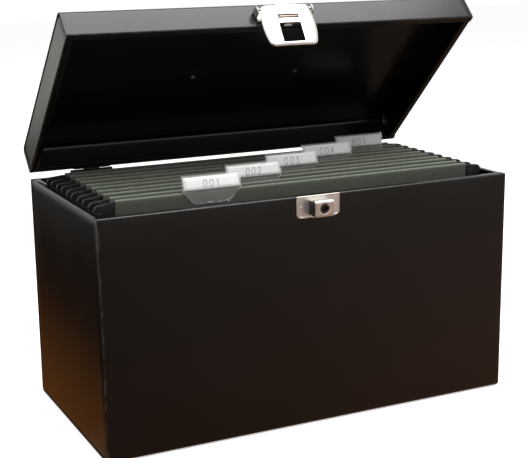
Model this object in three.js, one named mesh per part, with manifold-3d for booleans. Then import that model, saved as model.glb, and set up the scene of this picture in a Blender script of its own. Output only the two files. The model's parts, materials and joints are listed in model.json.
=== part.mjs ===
// A sheet-steel document box with a hinged lid, a hasp lock and hanging files.
// Millimetres, +X to the right, +Y to the back, +Z up. The origin is the middle of the underside.
import * as THREE from 'three';
import { mergeVertices } from 'three/addons/utils/BufferGeometryUtils.js';
import Module from 'manifold-3d';

const wasm = await Module();
wasm.setup();

// ---------------------------------------------------------------- driving dimensions

// Case and lid
const caseWidth = 420;
const caseDepth = 206;
const caseHeight = 221;
const lidHeight = 29.5;
const sheet = 1.2;
const rimFlange = 7;
const caseBend = 4;
const lidBend = 6;
const endFlange = 12;
const fitGap = 0.3;
const lidSeat = 0.6;
const lidOpenAngle = THREE.MathUtils.degToRad(44.3);

// Rails that carry the files
const railInset = 11.5;
const railDrop = 4;
const railUpstand = 16;
const railWeldHeight = 15;
const railEndGap = 1;

// Hanging files
const fileCount = 5;
const firstBarFromFront = 32;
const lastBarFromBack = 29;
const fileOpening = 15;
const filePitch = (caseDepth - firstBarFromFront - lastBarFromBack - fileOpening) / (fileCount - 1);
const barThickness = 2.4;
const barHeight = 12;
const barRise = 6.2;
const hookRimGap = 1;
const hookRailGap = 0.5;
const hookNoseDrop = 5;
const hookShoulder = 5.2;
const hookRound = 5;
const hookLength = 26;
const manila = 0.6;
const hemTail = 4;
const folderSideGap = 27;
const folderFloorGap = 14;

// Index tabs, staggered from left to right
const tabWidth = 57;
const tabHeight = 14;
const tabFoot = 12;
const tabStand = 0.5;
const tabPlastic = 0.5;
const tabPocket = 1.5;
const tabLean = THREE.MathUtils.degToRad(18);
const tabFrontShort = 1;
const tabSideGap = 90;
const lastTabSideGap = 43.8;
const tabStep = (caseWidth - tabSideGap - lastTabSideGap - tabWidth) / (fileCount - 1);
const cardThickness = 0.4;
const cardMargin = 2;

// Hinges
const hingeWidth = 43.5;
const hingeInset = 43;
const hingeOffset = 6;
const hingeLeafHeight = 20;
const hingeLeafThickness = 1.2;
const barrelRadius = 3.2;
const hingePinRadius = 1.6;
const pinRunningGap = 0.08;
const knuckleGap = 0.4;
const knuckleShare = 0.3;
const hingePinOverhang = 0.8;
const leafAxisGap = 1;
const webFootDrop = 2.5;
const webKneeInset = 1.4;
const webKneeRise = 1.6;
const webTipInset = 1;

// Lock on the front of the case
const lockPlateWidth = 44.5;
const lockPlateThickness = 1;
const lockPlateCorner = 5;
const lockCaseWidth = 19.6;
const lockCaseHeight = 14.8;
const lockCaseProud = 12.5;
const lockCaseBevel = 1.5;
const lockCaseDrop = 3.3;
const lockPlateFoot = 2.4;
const lockPlateHeight = lockCaseDrop + lockCaseHeight + lockPlateFoot;
const cylinderRadius = 4.4;
const cylinderGap = 0.1;
const cylinderRecess = 0.5;
const cylinderLength = 5.6;
const keyHoleRadius = 2.4;
const keySlotWidth = 2;
const keySlotRim = 0.5;
const keySlotDepth = 4;
const camPinRadius = 1;
const boltWidth = 9;
const boltThickness = 1.5;
const boltGap = 0.3;
const boltTravel = 3.2;
const boltEdge = 2.2;
const boltRecess = 0.6;
const lockBackWidth = 40;
const lockBackHeight = 17;
const lockBackThickness = 1.5;
const lockStudSpacing = 34;
const rivetRadius = 1.6;
const rivetHeadRadius = 2.8;
const rivetHeadHeight = 1.2;

// Hasp on the front of the lid
const haspPinProud = 8.5;
const haspPinBelowTop = 16.5;
const haspPinRadius = 1.2;
const haspDrop = 38.5;
const haspRise = 3;
const haspTopWidth = 47;
const haspMiddleWidth = 54.5;
const haspBottomWidth = 46.5;
const haspThickness = 1.2;
const haspPlateGap = 0.5;
const haspCorner = 5;
const haspBracketThickness = 1.2;
const haspBracketDrop = 8;
const haspEarHeight = 9;
const haspEarGap = 0.5;
const haspPinOverhang = 0.6;
const haspKnuckleRadius = 2.4;
const haspKnuckleWidth = 30;
const windowSideGap = 1.3;
const windowGapBelow = 3;
const windowGapAbove = 1.4;
const strikeWidth = 8;
const strikeLipBehind = 2.8;
const strikeGap = 0.5;
const haspRivetSpacing = 26;
const haspRivetBelowPin = 3.5;

// Carrying handle on the lid
const handleSpan = 113;
const handleReach = 32;
const handleWireRadius = 2.5;
const handleBearingGap = 0.15;
const handleLegGap = 0.6;
const handleEndOverhang = 1;
const handleClipWidth = 12;
const handleClipWall = 1.6;
const clipStudRadius = 2;
const clipStudOverhang = 0.8;
const gripLength = 76;
const gripRadius = 4;
const gripGap = 0.15;
const spreaderLength = 24;
const spreaderWidth = 9;
const spreaderThickness = 1.5;

// How far a cutter runs past what it cuts, and how deep joined solids sink into each other
const overshoot = 1;
const sink = 0.1;

// How many flat sides stand for a full circle
const smallRound = 14;
const plainRound = 20;
const boreRound = 24;
const barrelRound = 28;

// ---------------------------------------------------------------- finishes

const finishes = {
  blackPaint: { color: 0x26201d, roughness: 0.42, metalness: 0.1 },
  blackPlastic: { color: 0x141414, roughness: 0.5, metalness: 0 },
  nickel: { color: 0xc9c4ba, roughness: 0.28, metalness: 1 },
  zinc: { color: 0x9b9a96, roughness: 0.42, metalness: 1 },
  greenManila: { color: 0x4c5845, roughness: 0.85, metalness: 0 },
  clearPlastic: { color: 0xe4ecec, roughness: 0.15, metalness: 0, transparent: true, opacity: 0.35 },
  whiteCard: { color: 0xf2f0ec, roughness: 0.9, metalness: 0 },
};

const materialOf = (finish) => new THREE.MeshStandardMaterial(finishes[finish]);

// ---------------------------------------------------------------- shape helpers

const alongX = new THREE.Matrix4().makeBasis(
  new THREE.Vector3(0, 1, 0), new THREE.Vector3(0, 0, 1), new THREE.Vector3(1, 0, 0));
const alongMinusY = new THREE.Matrix4().makeBasis(
  new THREE.Vector3(1, 0, 0), new THREE.Vector3(0, 0, 1), new THREE.Vector3(0, -1, 0));

const shapeOf = (points) => new THREE.Shape(points.map(([u, v]) => new THREE.Vector2(u, v)));

const extruded = (shape, depth, curveSegments = 6) => new THREE.ExtrudeGeometry(
  shape, { depth, bevelEnabled: false, curveSegments });

// An outline in (y, z), pulled along +X from x0 for a length.
const pulledX = (shape, x0, length, curveSegments) =>
  extruded(shape, length, curveSegments).applyMatrix4(alongX).translate(x0, 0, 0);

// An outline in (x, z), pulled along -Y from y0 for a depth.
const pulledForward = (shape, y0, depth, curveSegments) =>
  extruded(shape, depth, curveSegments).applyMatrix4(alongMinusY).translate(0, y0, 0);

const block = (x0, x1, y0, y1, z0, z1) => new THREE.BoxGeometry(x1 - x0, y1 - y0, z1 - z0)
  .translate((x0 + x1) / 2, (y0 + y1) / 2, (z0 + z1) / 2);

const rodX = (x0, x1, y, z, radius, sides = plainRound) =>
  new THREE.CylinderGeometry(radius, radius, x1 - x0, sides)
    .rotateZ(-Math.PI / 2).translate((x0 + x1) / 2, y, z);

const rodY = (x, y0, y1, z, radius, sides = plainRound) =>
  new THREE.CylinderGeometry(radius, radius, y1 - y0, sides).translate(x, (y0 + y1) / 2, z);

const rodZ = (x, y, z0, z1, radius, sides = plainRound) =>
  new THREE.CylinderGeometry(radius, radius, z1 - z0, sides)
    .rotateX(Math.PI / 2).translate(x, y, (z0 + z1) / 2);

// Points of an arc about (cu, cv) between two angles in degrees, both ends included.
const arcPoints = (cu, cv, radius, fromDegrees, toDegrees, steps = 5) =>
  Array.from({ length: steps + 1 }, (_, i) => {
    const angle = THREE.MathUtils.degToRad(fromDegrees + (toDegrees - fromDegrees) * i / steps);
    return [cu + radius * Math.cos(angle), cv + radius * Math.sin(angle)];
  });

// A bent strip of even thickness around a centre line, as one closed outline.
const stripShape = (line, thickness) => {
  const points = line.map(([u, v]) => new THREE.Vector2(u, v));
  const normalOf = (a, b) => {
    const along = b.clone().sub(a).normalize();
    return new THREE.Vector2(-along.y, along.x);
  };
  const offsets = points.map((point, i) => {
    const before = i > 0 ? normalOf(points[i - 1], point) : normalOf(point, points[1]);
    const after = i < points.length - 1 ? normalOf(point, points[i + 1]) : before;
    const mitre = before.clone().add(after).normalize();
    return mitre.multiplyScalar(thickness / 2 / mitre.dot(before));
  });
  const oneSide = points.map((point, i) => point.clone().add(offsets[i]));
  const otherSide = points.map((point, i) => point.clone().sub(offsets[i]));
  return new THREE.Shape([...otherSide, ...oneSide.reverse()]);
};

const solidOf = (geometry) => {
  const plain = geometry.index ? geometry.toNonIndexed() : geometry.clone();
  plain.deleteAttribute('normal');
  plain.deleteAttribute('uv');
  const merged = mergeVertices(plain, 1e-5);
  return new wasm.Manifold(new wasm.Mesh({
    numProp: 3,
    vertProperties: new Float32Array(merged.attributes.position.array),
    triVerts: new Uint32Array(merged.index.array),
  }));
};

const geometryOf = (solid) => {
  const mesh = solid.getMesh();
  const geometry = new THREE.BufferGeometry();
  geometry.setAttribute('position', new THREE.BufferAttribute(mesh.vertProperties, 3));
  geometry.setIndex(new THREE.BufferAttribute(mesh.triVerts, 1));
  geometry.computeVertexNormals();
  return geometry;
};

const joined = (...geometries) => geometryOf(
  geometries.map(solidOf).reduce((sum, next) => sum.add(next)));

const cutBy = (geometry, ...cutters) => geometryOf(
  cutters.map(solidOf).reduce((left, cutter) => left.subtract(cutter), solidOf(geometry)));

const addPart = (parent, name, geometry, finish) => {
  const mesh = new THREE.Mesh(geometry, materialOf(finish));
  mesh.name = name;
  parent.add(mesh);
};

const sides = [['left', -1], ['right', 1]];

// ---------------------------------------------------------------- planes that the parts share

const frontY = -caseDepth / 2;
const backY = caseDepth / 2;
const endX = caseWidth / 2;
const hingeAxisY = backY + hingeOffset;
const hingeAxisZ = caseHeight + lidSeat / 2;
const lidRimZ = caseHeight + lidSeat;
const lidTopZ = lidRimZ + lidHeight;
const midSheet = sheet / 2;

// ---------------------------------------------------------------- case and lid shells

// The sheet that forms the front, the closed side and the back of a tray, open at rimZ.
const wrapGeometry = (rimZ, closedZ, bend) => {
  const up = Math.sign(rimZ - closedZ);
  const front = frontY + midSheet;
  const back = backY - midSheet;
  const lip = rimZ - up * midSheet;
  const flat = closedZ + up * midSheet;
  const radius = bend - midSheet;
  const bendCentre = flat + up * radius;
  const frontBend = arcPoints(front + radius, bendCentre, radius, 180, 180 + up * 90);
  const backBend = arcPoints(back - radius, bendCentre, radius, -up * 90, 0);
  const line = [
    [frontY + rimFlange, lip],
    [front, lip],
    ...frontBend,
    ...backBend,
    [back, lip],
    [backY - rimFlange, lip],
  ];
  return pulledX(stripShape(line, sheet), -endX, caseWidth);
};

// The end panel of a tray: a plate flanged on all four sides that sits inside the wrap.
const endPanelGeometry = (side, rimZ, closedZ, bend) => {
  const up = Math.sign(rimZ - closedZ);
  const inset = sheet + fitGap;
  const outline = (grow, low, high, corner) => {
    const shape = new THREE.Shape();
    const half = caseDepth / 2 - inset - grow;
    shape.moveTo(-half, high);
    shape.lineTo(-half, low + up * corner);
    shape.quadraticCurveTo(-half, low, -half + corner, low);
    shape.lineTo(half - corner, low);
    shape.quadraticCurveTo(half, low, half, low + up * corner);
    shape.lineTo(half, high);
    return shape;
  };
  const corner = bend - sheet;
  const outerX = side * endX;
  const deepX = side * (endX - endFlange);
  const cavityX = side * (endX - endFlange - overshoot);
  const plateX = side * (endX - sheet);
  const full = pulledX(outline(0, closedZ + up * inset, rimZ, corner),
    Math.min(outerX, deepX), endFlange, 3);
  const cavity = pulledX(
    outline(sheet, closedZ + up * (inset + sheet), rimZ - up * sheet, corner),
    Math.min(plateX, cavityX), endFlange + overshoot - sheet, 3);
  const box = (xa, xb, ya, yb, za, zb) => block(
    Math.min(xa, xb), Math.max(xa, xb), ya, yb, Math.min(za, zb), Math.max(za, zb));
  const clearZ = rimZ + up * overshoot;
  const rimTrim = box(side * (endX - rimFlange), cavityX, frontY, backY,
    rimZ - up * (sheet + sink), clearZ);
  const cornerTrims = [-1, 1].map((end) => {
    const inner = end * (backY - rimFlange - fitGap);
    const outer = end * (backY + overshoot);
    return box(outerX + side * overshoot, cavityX, Math.min(inner, outer), Math.max(inner, outer),
      rimZ - up * (sheet + fitGap), clearZ);
  });
  return cutBy(full, cavity, rimTrim, ...cornerTrims);
};

// The strip inside each end whose upstanding edge carries the hooks of the files.
const railGeometry = (side) => {
  const half = backY - 2 * sheet - 2 * fitGap - railEndGap;
  const top = caseHeight - railDrop;
  const webZ = top - railUpstand + midSheet;
  const edgeX = endX - railInset - midSheet;
  const weldX = endX - sheet - fitGap - midSheet;
  const line = [[edgeX, top], [edgeX, webZ], [weldX, webZ], [weldX, webZ - railWeldHeight]];
  const placed = line.map(([x, z]) => [side * x, z]);
  return pulledForward(stripShape(placed, sheet), half, 2 * half);
};

const caseGroup = new THREE.Group();
const lidPivot = new THREE.Group();
lidPivot.position.set(0, hingeAxisY, hingeAxisZ);
lidPivot.rotation.x = -lidOpenAngle;
const lidGroup = new THREE.Group();
lidGroup.position.set(0, -hingeAxisY, -hingeAxisZ);
lidPivot.add(lidGroup);

for (const [word, side] of sides) {
  addPart(caseGroup, `body_end_${word}`, endPanelGeometry(side, caseHeight, 0, caseBend), 'blackPaint');
  addPart(caseGroup, `file_rail_${word}`, railGeometry(side), 'blackPaint');
  addPart(lidGroup, `lid_end_${word}`, endPanelGeometry(side, lidRimZ, lidTopZ, lidBend), 'blackPaint');
}

// ---------------------------------------------------------------- hinges

// A leaf lies on the back face and is joined by a web to its knuckles on the pin's axis.
const leafGeometry = (centreX, up, spans) => {
  const plateY0 = backY + fitGap;
  const plateY1 = plateY0 + hingeLeafThickness;
  const nearZ = hingeAxisZ + up * leafAxisGap;
  const farZ = nearZ + up * hingeLeafHeight;
  const webFootZ = hingeAxisZ + up * (barrelRadius + webFootDrop);
  const plate = block(centreX - hingeWidth / 2, centreX + hingeWidth / 2, plateY0, plateY1,
    Math.min(nearZ, farZ), Math.max(nearZ, farZ));
  const pieces = [plate];
  for (const [x0, x1] of spans) {
    pieces.push(rodX(x0, x1, hingeAxisY, hingeAxisZ, barrelRadius));
    const web = stripShape([
      [plateY0 + hingeLeafThickness / 2, webFootZ],
      [hingeAxisY - barrelRadius + webKneeInset, hingeAxisZ + up * webKneeRise],
      [hingeAxisY - webTipInset, hingeAxisZ + up * (hingePinRadius + webTipInset)],
    ], hingeLeafThickness);
    pieces.push(pulledX(web, x0, x1 - x0));
  }
  const whole = joined(...pieces);
  const bore = rodX(centreX - hingeWidth, centreX + hingeWidth, hingeAxisY, hingeAxisZ,
    hingePinRadius + pinRunningGap);
  return cutBy(whole, bore);
};

for (const [word, side] of sides) {
  const centre = side * (endX - hingeInset - hingeWidth / 2);
  const low = centre - hingeWidth / 2;
  const high = centre + hingeWidth / 2;
  const outer = hingeWidth * knuckleShare;
  const bodySpans = [[low, low + outer], [high - outer, high]];
  const lidSpans = [[low + outer + knuckleGap, high - outer - knuckleGap]];
  addPart(caseGroup, `hinge_${word}_body_leaf`, leafGeometry(centre, -1, bodySpans), 'blackPaint');
  addPart(lidGroup, `hinge_${word}_lid_leaf`, leafGeometry(centre, 1, lidSpans), 'blackPaint');
  const shank = rodX(low - hingePinOverhang, high + hingePinOverhang, hingeAxisY, hingeAxisZ, hingePinRadius);
  addPart(caseGroup, `hinge_${word}_pin`, shank, 'zinc');
}

// ---------------------------------------------------------------- lock on the case

const plateBackY = frontY - fitGap;
const plateFrontY = plateBackY - lockPlateThickness;
const lockCaseTop = caseHeight - lockCaseDrop;
const lockCaseLow = lockCaseTop - lockCaseHeight;
const lockCentreZ = (lockCaseTop + lockCaseLow) / 2;
const lockCaseBackY = plateFrontY - fitGap;
const lockCaseFrontY = plateFrontY - lockCaseProud;
const lockBackY = frontY + sheet + fitGap;
const boltFrontY = lockCaseFrontY + cylinderLength;
const boltBackY = boltFrontY + boltThickness;
const cylinderBackY = boltFrontY - boltGap;

// The cam pin swings a quarter turn below the cylinder's axis, which throws the bolt to the right.
const camRadius = boltTravel / Math.SQRT2;
const camX = -boltTravel / 2;
const camZ = lockCentreZ - boltTravel / 2;
const boltTopZ = lockCaseTop - boltRecess;
const boltSlotLowZ = lockCentreZ - camRadius - camPinRadius - boltGap;
const boltLowZ = boltSlotLowZ - boltEdge;
const boltLeftX = camX - boltWidth / 2;
const boltRightX = camX + boltWidth / 2;

const lockStudXs = sides.map(([, side]) => side * lockStudSpacing / 2);
const lockStudBores = lockStudXs.map((x) => rodY(
  x, plateFrontY - overshoot, lockBackY + lockBackThickness + overshoot, lockCentreZ, rivetRadius + fitGap));

const lockPlateGeometry = () => {
  const half = lockPlateWidth / 2;
  const corner = lockPlateCorner;
  const cornerZ = caseHeight - lockPlateHeight + corner;
  const shape = new THREE.Shape();
  shape.moveTo(-half, caseHeight);
  shape.lineTo(-half, cornerZ);
  shape.absarc(-half + corner, cornerZ, corner, Math.PI, 1.5 * Math.PI, false);
  shape.absarc(half - corner, cornerZ, corner, 1.5 * Math.PI, 2 * Math.PI, false);
  shape.lineTo(half, caseHeight);
  return cutBy(pulledForward(shape, plateBackY, lockPlateThickness), ...lockStudBores);
};

const lockCaseGeometry = () => {
  const profile = shapeOf([
    [lockCaseBackY, lockCaseLow],
    [lockCaseBackY, lockCaseTop],
    [lockCaseFrontY + lockCaseBevel, lockCaseTop],
    [lockCaseFrontY, lockCaseTop - lockCaseBevel],
    [lockCaseFrontY, lockCaseLow],
  ]);
  const body = pulledX(profile, -lockCaseWidth / 2, lockCaseWidth);
  const bore = rodY(0, lockCaseFrontY - overshoot, boltFrontY, lockCentreZ,
    cylinderRadius + cylinderGap, barrelRound);
  const channel = block(boltLeftX - boltGap, boltRightX + boltTravel + boltGap,
    boltFrontY - boltGap, boltBackY + boltGap, boltLowZ - boltGap, lockCaseTop + overshoot);
  return cutBy(body, bore, channel);
};

const cylinderGeometry = () => {
  const faceY = lockCaseFrontY + cylinderRecess;
  const barrel = rodY(0, faceY, cylinderBackY, lockCentreZ, cylinderRadius, barrelRound);
  const camPin = rodY(camX, cylinderBackY - overshoot, boltBackY - boltGap, camZ, camPinRadius, smallRound);
  const keyHole = rodY(0, faceY - overshoot, faceY + keySlotDepth, lockCentreZ, keyHoleRadius, smallRound);
  const keySlot = block(0, cylinderRadius - keySlotRim, faceY - overshoot, faceY + keySlotDepth,
    lockCentreZ - keySlotWidth / 2, lockCentreZ + keySlotWidth / 2);
  return cutBy(joined(barrel, camPin), keyHole, keySlot);
};

// The bolt has an upright slot in which the cam pin runs.
const boltGeometry = () => {
  const plate = block(boltLeftX, boltRightX, boltFrontY, boltBackY, boltLowZ, boltTopZ);
  const slotHalf = camPinRadius + boltGap / 2;
  const slot = block(camX - slotHalf, camX + slotHalf, boltFrontY - overshoot, boltBackY + overshoot,
    boltSlotLowZ, camZ + camPinRadius + boltGap);
  return cutBy(plate, slot);
};

const lockBackGeometry = () => {
  const plate = block(-lockBackWidth / 2, lockBackWidth / 2, lockBackY, lockBackY + lockBackThickness,
    lockCentreZ - lockBackHeight / 2, lockCentreZ + lockBackHeight / 2);
  return cutBy(plate, ...lockStudBores);
};

const lockStudGeometry = (x) => {
  const headY = lockBackY + lockBackThickness + fitGap;
  const shank = rodY(x, plateFrontY, headY + sink, lockCentreZ, rivetRadius);
  const head = rodY(x, headY, headY + rivetHeadHeight, lockCentreZ, rivetHeadRadius);
  return joined(shank, head);
};

addPart(caseGroup, 'body_wrap',
  cutBy(wrapGeometry(caseHeight, 0, caseBend), ...lockStudBores), 'blackPaint');
addPart(caseGroup, 'lock_plate', lockPlateGeometry(), 'nickel');
addPart(caseGroup, 'lock_case', lockCaseGeometry(), 'nickel');
addPart(caseGroup, 'lock_cylinder', cylinderGeometry(), 'zinc');
addPart(caseGroup, 'lock_bolt', boltGeometry(), 'zinc');
addPart(caseGroup, 'lock_backplate', lockBackGeometry(), 'zinc');
sides.forEach(([word], i) => {
  addPart(caseGroup, `lock_stud_${word}`, lockStudGeometry(lockStudXs[i]), 'zinc');
});

// ---------------------------------------------------------------- hasp on the lid

const haspPinY = frontY - haspPinProud;
const haspPinZ = lidTopZ - haspPinBelowTop;
const bracketBackY = frontY - fitGap;
const bracketFrontY = bracketBackY - haspBracketThickness;
const earInnerX = haspMiddleWidth / 2 + haspEarGap;
const earOuterX = earInnerX + haspBracketThickness;

// The plate's own frame has the pin as its origin, and its back lies this far in front of the pin.
const haspBackY = haspThickness - haspKnuckleRadius;

// With the lid shut, the plate leans in until its foot is a gap away from the lock plate.
const haspReachIn = haspPinProud - fitGap - lockPlateThickness - haspPlateGap;
const haspLean = Math.atan2(-haspBackY, haspDrop)
  + Math.asin(haspReachIn / Math.hypot(haspBackY, haspDrop));

const haspRivetXs = sides.map(([, side]) => side * haspRivetSpacing / 2);
const haspRivetZ = haspPinZ - haspRivetBelowPin;
const haspRivetBores = haspRivetXs.map((x) => rodY(
  x, bracketFrontY - overshoot, frontY + sheet + overshoot, haspRivetZ, rivetRadius + fitGap));

const bracketGeometry = () => {
  const plate = block(-earOuterX, earOuterX, bracketFrontY, bracketBackY,
    haspPinZ - haspBracketDrop, haspPinZ + haspEarHeight / 2);
  const ears = sides.map(([, side]) => block(
    Math.min(side * earInnerX, side * earOuterX), Math.max(side * earInnerX, side * earOuterX),
    haspPinY - haspKnuckleRadius, bracketBackY,
    haspPinZ - haspEarHeight / 2, haspPinZ + haspEarHeight / 2));
  const pinBore = rodX(-earOuterX - overshoot, earOuterX + overshoot, haspPinY, haspPinZ,
    haspPinRadius + fitGap);
  return cutBy(joined(plate, ...ears), pinBore, ...haspRivetBores);
};

const haspRivetGeometry = (x) => {
  const outY = bracketFrontY - fitGap;
  const inY = frontY + sheet + fitGap;
  return joined(
    rodY(x, outY - rivetHeadHeight, outY, haspRivetZ, rivetHeadRadius),
    rodY(x, outY - sink, inY + sink, haspRivetZ, rivetRadius),
    rodY(x, inY, inY + rivetHeadHeight, haspRivetZ, rivetHeadRadius));
};

// Heights down the plate at which the lock case stands when the lid is shut.
const downPlate = (z) => (haspPinZ - z) / Math.cos(haspLean);
const windowTop = -downPlate(lockCaseTop + windowGapAbove);
const windowLow = -downPlate(lockCaseLow - windowGapBelow);
const windowHalf = lockCaseWidth / 2 + windowSideGap;
const strikeLow = -downPlate(lockCaseTop + strikeGap);

const haspPlateGeometry = () => {
  const top = haspTopWidth / 2;
  const low = haspBottomWidth / 2;
  const belly = haspMiddleWidth - (top + low) / 2;
  const middleZ = (haspRise - haspDrop) / 2;
  const corner = haspCorner;
  const shape = new THREE.Shape();
  shape.moveTo(-top + corner / 2, haspRise);
  shape.quadraticCurveTo(-top, haspRise, -top, haspRise - corner / 2);
  shape.quadraticCurveTo(-belly, middleZ, -low, corner - haspDrop);
  shape.quadraticCurveTo(-low, -haspDrop, -low + corner, -haspDrop);
  shape.lineTo(low - corner, -haspDrop);
  shape.quadraticCurveTo(low, -haspDrop, low, corner - haspDrop);
  shape.quadraticCurveTo(belly, middleZ, top, haspRise - corner / 2);
  shape.quadraticCurveTo(top, haspRise, top - corner / 2, haspRise);
  const plate = pulledForward(shape, haspBackY, haspThickness, 8);
  const window = block(-windowHalf, windowHalf, haspBackY - haspThickness - overshoot,
    haspBackY + overshoot, windowLow, windowTop);
  const knuckle = rodX(-haspKnuckleWidth / 2, haspKnuckleWidth / 2, 0, 0, haspKnuckleRadius);
  const strike = pulledX(stripShape([
    [haspBackY - haspThickness / 2, windowTop + haspThickness / 2],
    [strikeLipBehind - haspThickness / 2, windowTop + haspThickness / 2],
    [strikeLipBehind - haspThickness / 2, strikeLow],
  ], haspThickness), -strikeWidth / 2, strikeWidth);
  const pinBore = rodX(-haspKnuckleWidth, haspKnuckleWidth, 0, 0, haspPinRadius + pinRunningGap);
  return cutBy(joined(cutBy(plate, window), knuckle, strike), pinBore);
};

addPart(lidGroup, 'hasp_bracket', bracketGeometry(), 'zinc');
addPart(lidGroup, 'hasp_pin', rodX(-earOuterX - haspPinOverhang, earOuterX + haspPinOverhang,
  haspPinY, haspPinZ, haspPinRadius), 'zinc');
sides.forEach(([word], i) => {
  addPart(lidGroup, `hasp_rivet_${word}`, haspRivetGeometry(haspRivetXs[i]), 'zinc');
});
const haspPivot = new THREE.Group();
haspPivot.position.set(0, haspPinY, haspPinZ);
haspPivot.rotation.x = haspLean;
addPart(haspPivot, 'hasp_plate', haspPlateGeometry(), 'nickel');
lidGroup.add(haspPivot);

// ---------------------------------------------------------------- carrying handle on the lid

const clipRound = handleWireRadius + handleBearingGap + handleClipWall;
const clipBaseZ = lidTopZ + fitGap;
const handleAxisZ = clipBaseZ + clipRound;
const legX = handleSpan / 2 + handleClipWidth / 2 + handleLegGap + handleWireRadius;
const wireEndX = handleSpan / 2 - handleClipWidth / 2 - handleEndOverhang;
const spreaderTopZ = lidTopZ - sheet - fitGap;
const clipStudBores = sides.map(([, side]) => rodZ(
  side * handleSpan / 2, 0, spreaderTopZ - spreaderThickness - overshoot, lidTopZ + overshoot,
  clipStudRadius + fitGap));

const clipGeometry = (x) => {
  const shape = new THREE.Shape();
  shape.moveTo(clipRound, clipBaseZ);
  shape.lineTo(clipRound, handleAxisZ);
  shape.absarc(0, handleAxisZ, clipRound, 0, Math.PI, false);
  shape.lineTo(-clipRound, clipBaseZ);
  const saddle = pulledX(shape, x - handleClipWidth / 2, handleClipWidth);
  const stud = rodZ(x, 0, spreaderTopZ - spreaderThickness - clipStudOverhang, clipBaseZ + overshoot,
    clipStudRadius);
  const bore = rodX(x - handleClipWidth, x + handleClipWidth, 0, handleAxisZ,
    handleWireRadius + handleBearingGap, boreRound);
  return cutBy(joined(saddle, stud), bore);
};

// The wire lies flat behind its clips: two trunnions, two legs and a bar that carries the grip.
const bailGeometry = () => {
  const round = (x, y) => new THREE.SphereGeometry(handleWireRadius, plainRound, plainRound / 2)
    .rotateX(Math.PI / 2).translate(x, y, handleAxisZ);
  const legs = sides.flatMap(([, side]) => {
    const x = side * legX;
    const inner = side * wireEndX;
    return [
      rodX(Math.min(x, inner), Math.max(x, inner), 0, handleAxisZ, handleWireRadius, boreRound),
      rodY(x, 0, handleReach, handleAxisZ, handleWireRadius),
      round(x, 0),
      round(x, handleReach),
    ];
  });
  return joined(rodX(-legX, legX, handleReach, handleAxisZ, handleWireRadius), ...legs);
};

const gripGeometry = () => cutBy(
  rodX(-gripLength / 2, gripLength / 2, handleReach, handleAxisZ, gripRadius, boreRound),
  rodX(-gripLength, gripLength, handleReach, handleAxisZ, handleWireRadius + gripGap, boreRound));

const spreaderGeometry = (x, bore) => cutBy(
  block(x - spreaderLength / 2, x + spreaderLength / 2, -spreaderWidth / 2, spreaderWidth / 2,
    spreaderTopZ - spreaderThickness, spreaderTopZ), bore);

addPart(lidGroup, 'lid_wrap', cutBy(wrapGeometry(lidRimZ, lidTopZ, lidBend),
  ...haspRivetBores, ...clipStudBores), 'blackPaint');
sides.forEach(([word, side], i) => {
  const x = side * handleSpan / 2;
  addPart(lidGroup, `handle_clip_${word}`, clipGeometry(x), 'zinc');
  addPart(lidGroup, `handle_spreader_${word}`, spreaderGeometry(x, clipStudBores[i]), 'zinc');
});
addPart(lidGroup, 'handle_bail', bailGeometry(), 'zinc');
addPart(lidGroup, 'handle_grip', gripGeometry(), 'blackPlastic');

// ---------------------------------------------------------------- hanging files

const barTopZ = caseHeight + barRise;
const barLowZ = barTopZ - barHeight;
const hemHalf = barThickness / 2 + fitGap + manila / 2;
const hemCentreZ = barTopZ - fitGap;
const hemTopZ = hemCentreZ + hemHalf + manila / 2;
const railTopZ = caseHeight - railDrop;

// A flat runner bar whose ends hook over the rails.
const barGeometry = (y) => {
  const innerX = endX - railInset - sheet - hookRailGap;
  const noseX = endX - railInset + hookRailGap;
  const tipX = endX - rimFlange - hookRimGap;
  const shoulderZ = caseHeight + hookShoulder;
  const half = [
    [innerX, barLowZ],
    [innerX, railTopZ + fitGap],
    [noseX, railTopZ + fitGap],
    [noseX, railTopZ - hookNoseDrop],
    [tipX, railTopZ - hookNoseDrop],
    ...arcPoints(tipX - hookRound, shoulderZ - hookRound, hookRound, 0, 90),
    [endX - hookLength, barTopZ],
  ];
  const mirrored = half.map(([x, z]) => [-x, z]).reverse();
  return pulledForward(shapeOf([...half, ...mirrored]), y + barThickness / 2, barThickness);
};

// One sheet hemmed round both bars and folded at the bottom.
const folderGeometry = (frontBarY, rearBarY) => {
  const tailZ = barLowZ - hemTail;
  const middleY = (frontBarY + rearBarY) / 2;
  const line = [
    [frontBarY + hemHalf, tailZ],
    ...arcPoints(frontBarY, hemCentreZ, hemHalf, 0, 180, 4),
    [frontBarY - hemHalf, barLowZ],
    [middleY - manila, folderFloorGap],
    [middleY + manila, folderFloorGap],
    [rearBarY + hemHalf, barLowZ],
    ...arcPoints(rearBarY, hemCentreZ, hemHalf, 0, 180, 4),
    [rearBarY - hemHalf, tailZ],
  ];
  const half = endX - folderSideGap;
  return pulledX(stripShape(line, manila), -half, 2 * half);
};

// The tab stands on the front of the hem, leans back and is folded over to hold its card.
const tabParts = (frontBarY, centreX) => {
  const footY = frontBarY - hemHalf - manila / 2 - fitGap - tabPlastic / 2;
  const kneeZ = hemTopZ + tabStand;
  const up = [Math.sin(tabLean), Math.cos(tabLean)];
  const forward = [-up[1], up[0]];
  const at = (along, out) => [
    footY + up[0] * along + forward[0] * out,
    kneeZ + up[1] * along + forward[1] * out,
  ];
  const tabLine = [
    [footY, hemTopZ - tabFoot],
    at(0, 0),
    at(tabHeight, 0),
    at(tabHeight, tabPocket),
    at(tabFrontShort, tabPocket),
  ];
  const cardLine = [at(cardMargin, tabPocket / 2), at(tabHeight - cardMargin, tabPocket / 2)];
  const cardWidth = tabWidth - 2 * cardMargin;
  return {
    tab: pulledX(stripShape(tabLine, tabPlastic), centreX - tabWidth / 2, tabWidth),
    card: pulledX(stripShape(cardLine, cardThickness), centreX - cardWidth / 2, cardWidth),
  };
};

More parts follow.
